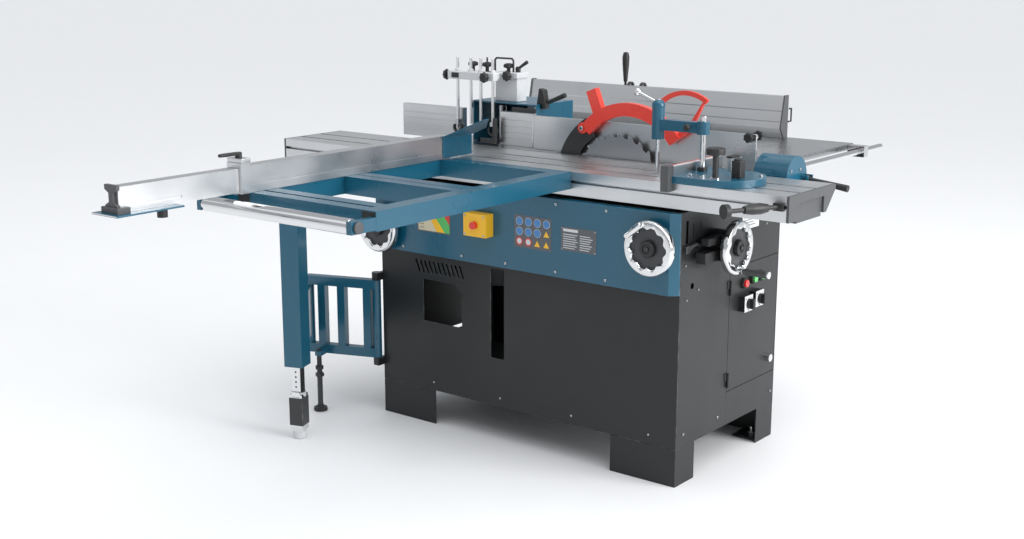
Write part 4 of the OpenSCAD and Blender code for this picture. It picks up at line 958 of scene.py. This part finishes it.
class SAW_OT_crosscut(bpy.types.Operator):
    """End cap, stop block, lever and plate of the crosscut fence"""

    bl_idname = "saw.crosscut"
    bl_label = "Crosscut fence"

    def execute(self, context):
        x0, x1, mid, end = -300, -255, -277.5, -1504.4
        cap = [(x0 - 1, 872), (x1 + 1, 872), (x1 + 1, 892), (mid + 9, 900), (mid + 9, 922),
               (x1 + 1, 930), (x1 + 1, 942), (x0 - 1, 942), (x0 - 1, 930), (mid - 9, 922),
               (mid - 9, 900), (x0 - 1, 892)]
        parts = [prism(cap, (end - 8, end + 2), "Y", "grey plastic", 1),
                 block((x0 - 10, end - 14, 870.6), (x1 + 10, end + 24, 888), "grey plastic", 1.5),
                 block((mid - 49, end - 29.8, 869), (mid + 49, end + 171, 873.6), "blue paint",
                       0.8),
                 turned([(9, 0), (12.5, 3), (13, 14), (13, 20), (11, 22)],
                        (mid + 26, end + 120, 848), "Z", BLACK, 56, 8, 0.14)]
        place("extension_end", "extension", "black_plastic", parts)
        stop = [block((x0 - 6, -1128, 950.4), (x1 + 6, -1098, 962), "aluminium across", 1.5),
                turned([(4, 0), (6, 2), (6, 8), (5, 9)], (x0 - 5.6, -1113, 925), (-1, 0, 0),
                       BLACK, 24)]
        place("collar_fittings", "fence", "aluminium_profile", stop)
        lever = [turned([(9, 0), (9, 12), (7.5, 14)], (mid, -1113.4, 962.4), "Z", BLACK, 28),
                 prism([(mid - 7, -1113), (mid + 7, -1113), (mid + 9, -1160), (mid + 5, -1178),
                        (mid - 5, -1178), (mid - 9, -1160)], (969, 977), "Z", BLACK, 2, 3)]
        place("stop_handle", "fence_lever", "black_plastic", lever, stands_for=("stop_lever",))
        return {"FINISHED"}


class SAW_OT_outrigger(bpy.types.Operator):
    """Beam plugs and the roller's end fittings"""

    bl_idname = "saw.outrigger"
    bl_label = "Outrigger fittings"

    def execute(self, context):
        plug = block((-307, -1095, 823), (-263, -1090.4, 867), BLACK, 1)
        parts = repeat(plug, (450, 0, 0))
        parts.append(turned([(15, 0), (15, 6), (11, 8)], (191, -1159.4, 840), "X",
                            "grey plastic", 28))
        parts.append(turned([(13, 0), (13, 5), (10, 7)], (-372.6, -1159.4, 840), (-1, 0, 0),
                            "grey plastic", 28))
        place("outrigger_fittings", "outrigger", "blue_paint", parts)
        return {"FINISHED"}


class SAW_OT_rip_fence(bpy.types.Operator):
    """Knobs and head screws of the rip fence"""

    bl_idname = "saw.rip_fittings"
    bl_label = "Rip fence fittings"

    def execute(self, context):
        star = [(5, 0), (5, 6), (15, 8), (16, 14), (14, 20), (7, 22)]
        parts = [turned(star, (590, 26, 968), (0, -1, 0), BLACK, 56, 7, 0.2),
                 turned(star, (590, 58, 968), (0, 1, 0), BLACK, 56, 7, 0.2),
                 screws((0, -1, 0), 4, (560, 28, 905), (540, 28, 905)),
                 screws("X", 4, (712, 40, 880), (712, 96, 880))]
        place("rip_fence_knob", "rip_fence", "blue_paint", parts)
        return {"FINISHED"}


class SAW_OT_planer_fence(bpy.types.Operator):
    """End caps, ring brackets, hook and knob of the planer fence"""

    bl_idname = "saw.planer_fence"
    bl_label = "Planer fence fittings"

    def execute(self, context):
        back, face, z = 758, 715, 870.4
        outline = [(back + 3, z), (face + 22, z), (face - 4, z + 35), (face + 20, z + 145),
                   (back + 3, z + 145)]
        parts = repeat(prism(outline, (325, 331), "X", "grey plastic", 1), (-1059, 0, 0))
        parts.append(wire([(329, 768, 925), (329, 786, 925), (329, 786, 968), (329, 772, 968)],
                          3, DARK))
        ring = band_outline((772, 1006), 12, 18, -60, 240, 28)
        for part in (prism(ring, (-315, -303), "X", DARK, 0.8),
                     block((-317, 757, 980), (-301, 770, 998), DARK, 1)):
            parts += repeat(part, (53, 0, 0))
        parts.append(turned([(15, 0), (15, 10), (12, 13)], (-220, 790, 897), "Z", BLACK, 28))
        place("planer_fence_fittings", "planer_fence", "aluminium_profile", parts)
        return {"FINISHED"}


class SAW_OT_leg(bpy.types.Operator):
    """Boot, nuts, dark discs as painted shade for the leg's openings, thread and pads of the leg
    and the arm's foot
    """

    bl_idname = "saw.leg"
    bl_label = "Leg and foot"

    def execute(self, context):
        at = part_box("support_leg")
        mid = (at[0] + at[1]) / 2 / MM
        x, y = mid.x, mid.y
        side = max(frame["nodes"]["support_leg"].data.polygons,
                   key=lambda f: f.area if abs(f.normal.z) < 0.1 else 0).normal
        turn = Matrix.Rotation(math.atan2(side.y, side.x), 4, "Z")
        boot = block((-23, -23, 44), (23, 23, 134), DARK, 2)
        nut = turned([(24, 136), (26, 138), (26, 150), (24, 152)], (0, 0, 0), "Z", "chrome", 6)
        # The leg's openings are thin dark discs on its face: painted shade where the openings
        # would be.
        hole_shade = prism(disc_outline((0, 168), 3.2, 14), (15, 15.1), "X", DARK)
        hole_shades = repeat(hole_shade, (0, 0, 16), (0, 0, 32), (0, 0, 48))
        for part in (boot, nut, *hole_shades):
            part.data.transform(Matrix.Translation((x * MM, y * MM, 0)) @ turn)
        pad = turned([(20.4, 1), (21, 3), (21, 20), (16, 30), (12, 34)], (x, y, 0), "Z",
                     "label white", 32)
        place("leg_fittings", "leg", "bright_chrome", boot, nut, hole_shades, pad)
        low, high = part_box("arm_foot")
        fx, fy = (low.x + high.x) / 2 / MM, (low.y + high.y) / 2 / MM
        ring = [(9.2 if i % 2 else 8.3, 20 + 4 * i) for i in range(30)]
        foot = [turned(ring, (fx, fy, 0), "Z", DARK, 24),
                turned([(21, 1.2), (23, 4), (22, 9), (12, 15), (10, 22)], (fx, fy, 0), "Z",
                       BLACK, 36),
                turned([(14, 0), (15, 1), (15, 10), (14, 11)], (fx, fy, 118), "Z",
                       DARK, 6)]
        place("foot_fittings", "arm_foot", "black_plastic", foot)
        return {"FINISHED"}


class SAW_OT_carriage(bpy.types.Operator):
    """Cap screws of the sliding carriage"""

    bl_idname = "saw.carriage_fittings"
    bl_label = "Carriage fittings"

    def execute(self, context):
        spots = ((-262, 858), (-206, 860), (-120, 860), (-44, 862))
        parts = screws("X", 4.5, *[(873.7, y, z) for y, z in spots])
        parts += screws((-1, 0, 0), 4.5, *[(-995.7, y, z) for y, z in spots])
        place("carriage_screws", "sliding_table", "machined_steel", parts)
        return {"FINISHED"}


class SAW_OT_saw_unit(bpy.types.Operator):
    """Flange nut and carbide tips of the blade, and the guard's pin heads"""

    bl_idname = "saw.saw_unit"
    bl_label = "Saw unit fittings"

    def execute(self, context):
        x, y, z, r, teeth = 150, 8, 789.5, 157.5, 24
        nut = turned([(15, 0), (16, 1.5), (16, 9), (14, 11)], (x, y - 12, z), (0, -1, 0),
                     STEEL, 6)
        tip = block((r - 8, y - 1.9, -1.4), (r + 0.3, y + 1.9, 1.4), STEEL, 0.3, 1)
        tips = repeat(tip, *[(0, 0, 0)] * (teeth - 1))
        for i, twin in enumerate(tips):
            turn = Matrix.Rotation(-2 * math.pi * (i + 0.03) / teeth, 4, "Y")
            twin.data.transform(Matrix.Translation((x * MM, 0, z * MM)) @ turn)
        place("blade_fittings", "blade", "machined_steel", nut, tips)
        pin = [screws((0, -1, 0), 7, (25, -6, 954.5)), screws((0, 1, 0), 7, (25, 22, 954.5))]
        place("guard_pin_heads", "saw_unit", "machined_steel", pin)
        return {"FINISHED"}


CLASSES = (
    SawColours, SawSizes, SAW_OT_stage, SAW_OT_painted, SAW_OT_metal, SAW_OT_plastic,
    SAW_OT_handwheels, SAW_OT_panel_labels, SAW_OT_controls, SAW_OT_moulder_stand,
    SAW_OT_moulder_housing, SAW_OT_gauge, SAW_OT_crosscut, SAW_OT_outrigger,
    SAW_OT_rip_fence, SAW_OT_planer_fence, SAW_OT_leg, SAW_OT_carriage, SAW_OT_saw_unit)
OPERATORS = [c for c in CLASSES if issubclass(c, bpy.types.Operator)]


class SAW_PT_panel(bpy.types.Panel):
    """The saw's sizes, colours and pieces"""

    bl_idname = "SAW_PT_panel"
    bl_label = "Panel saw"
    bl_space_type = "VIEW_3D"
    bl_region_type = "UI"
    bl_category = "Panel saw"

    def draw(self, context):
        for group in (context.scene.saw_sizes, context.scene.saw_colours):
            for name in group.__annotations__:
                self.layout.prop(group, name)
        for operator in OPERATORS:
            self.layout.operator(operator.bl_idname)


def register():
    for cls in (*CLASSES, SAW_PT_panel):
        bpy.utils.register_class(cls)
    bpy.types.Scene.saw_colours = bpy.props.PointerProperty(type=SawColours)
    bpy.types.Scene.saw_sizes = bpy.props.PointerProperty(type=SawSizes)


def unregister():
    del bpy.types.Scene.saw_sizes
    del bpy.types.Scene.saw_colours
    for cls in reversed((*CLASSES, SAW_PT_panel)):
        bpy.utils.unregister_class(cls)


def main():
    register()
    for operator in OPERATORS:
        family, name = operator.bl_idname.split(".")
        getattr(getattr(bpy.ops, family), name)()


if __name__ == "__main__":
    main()
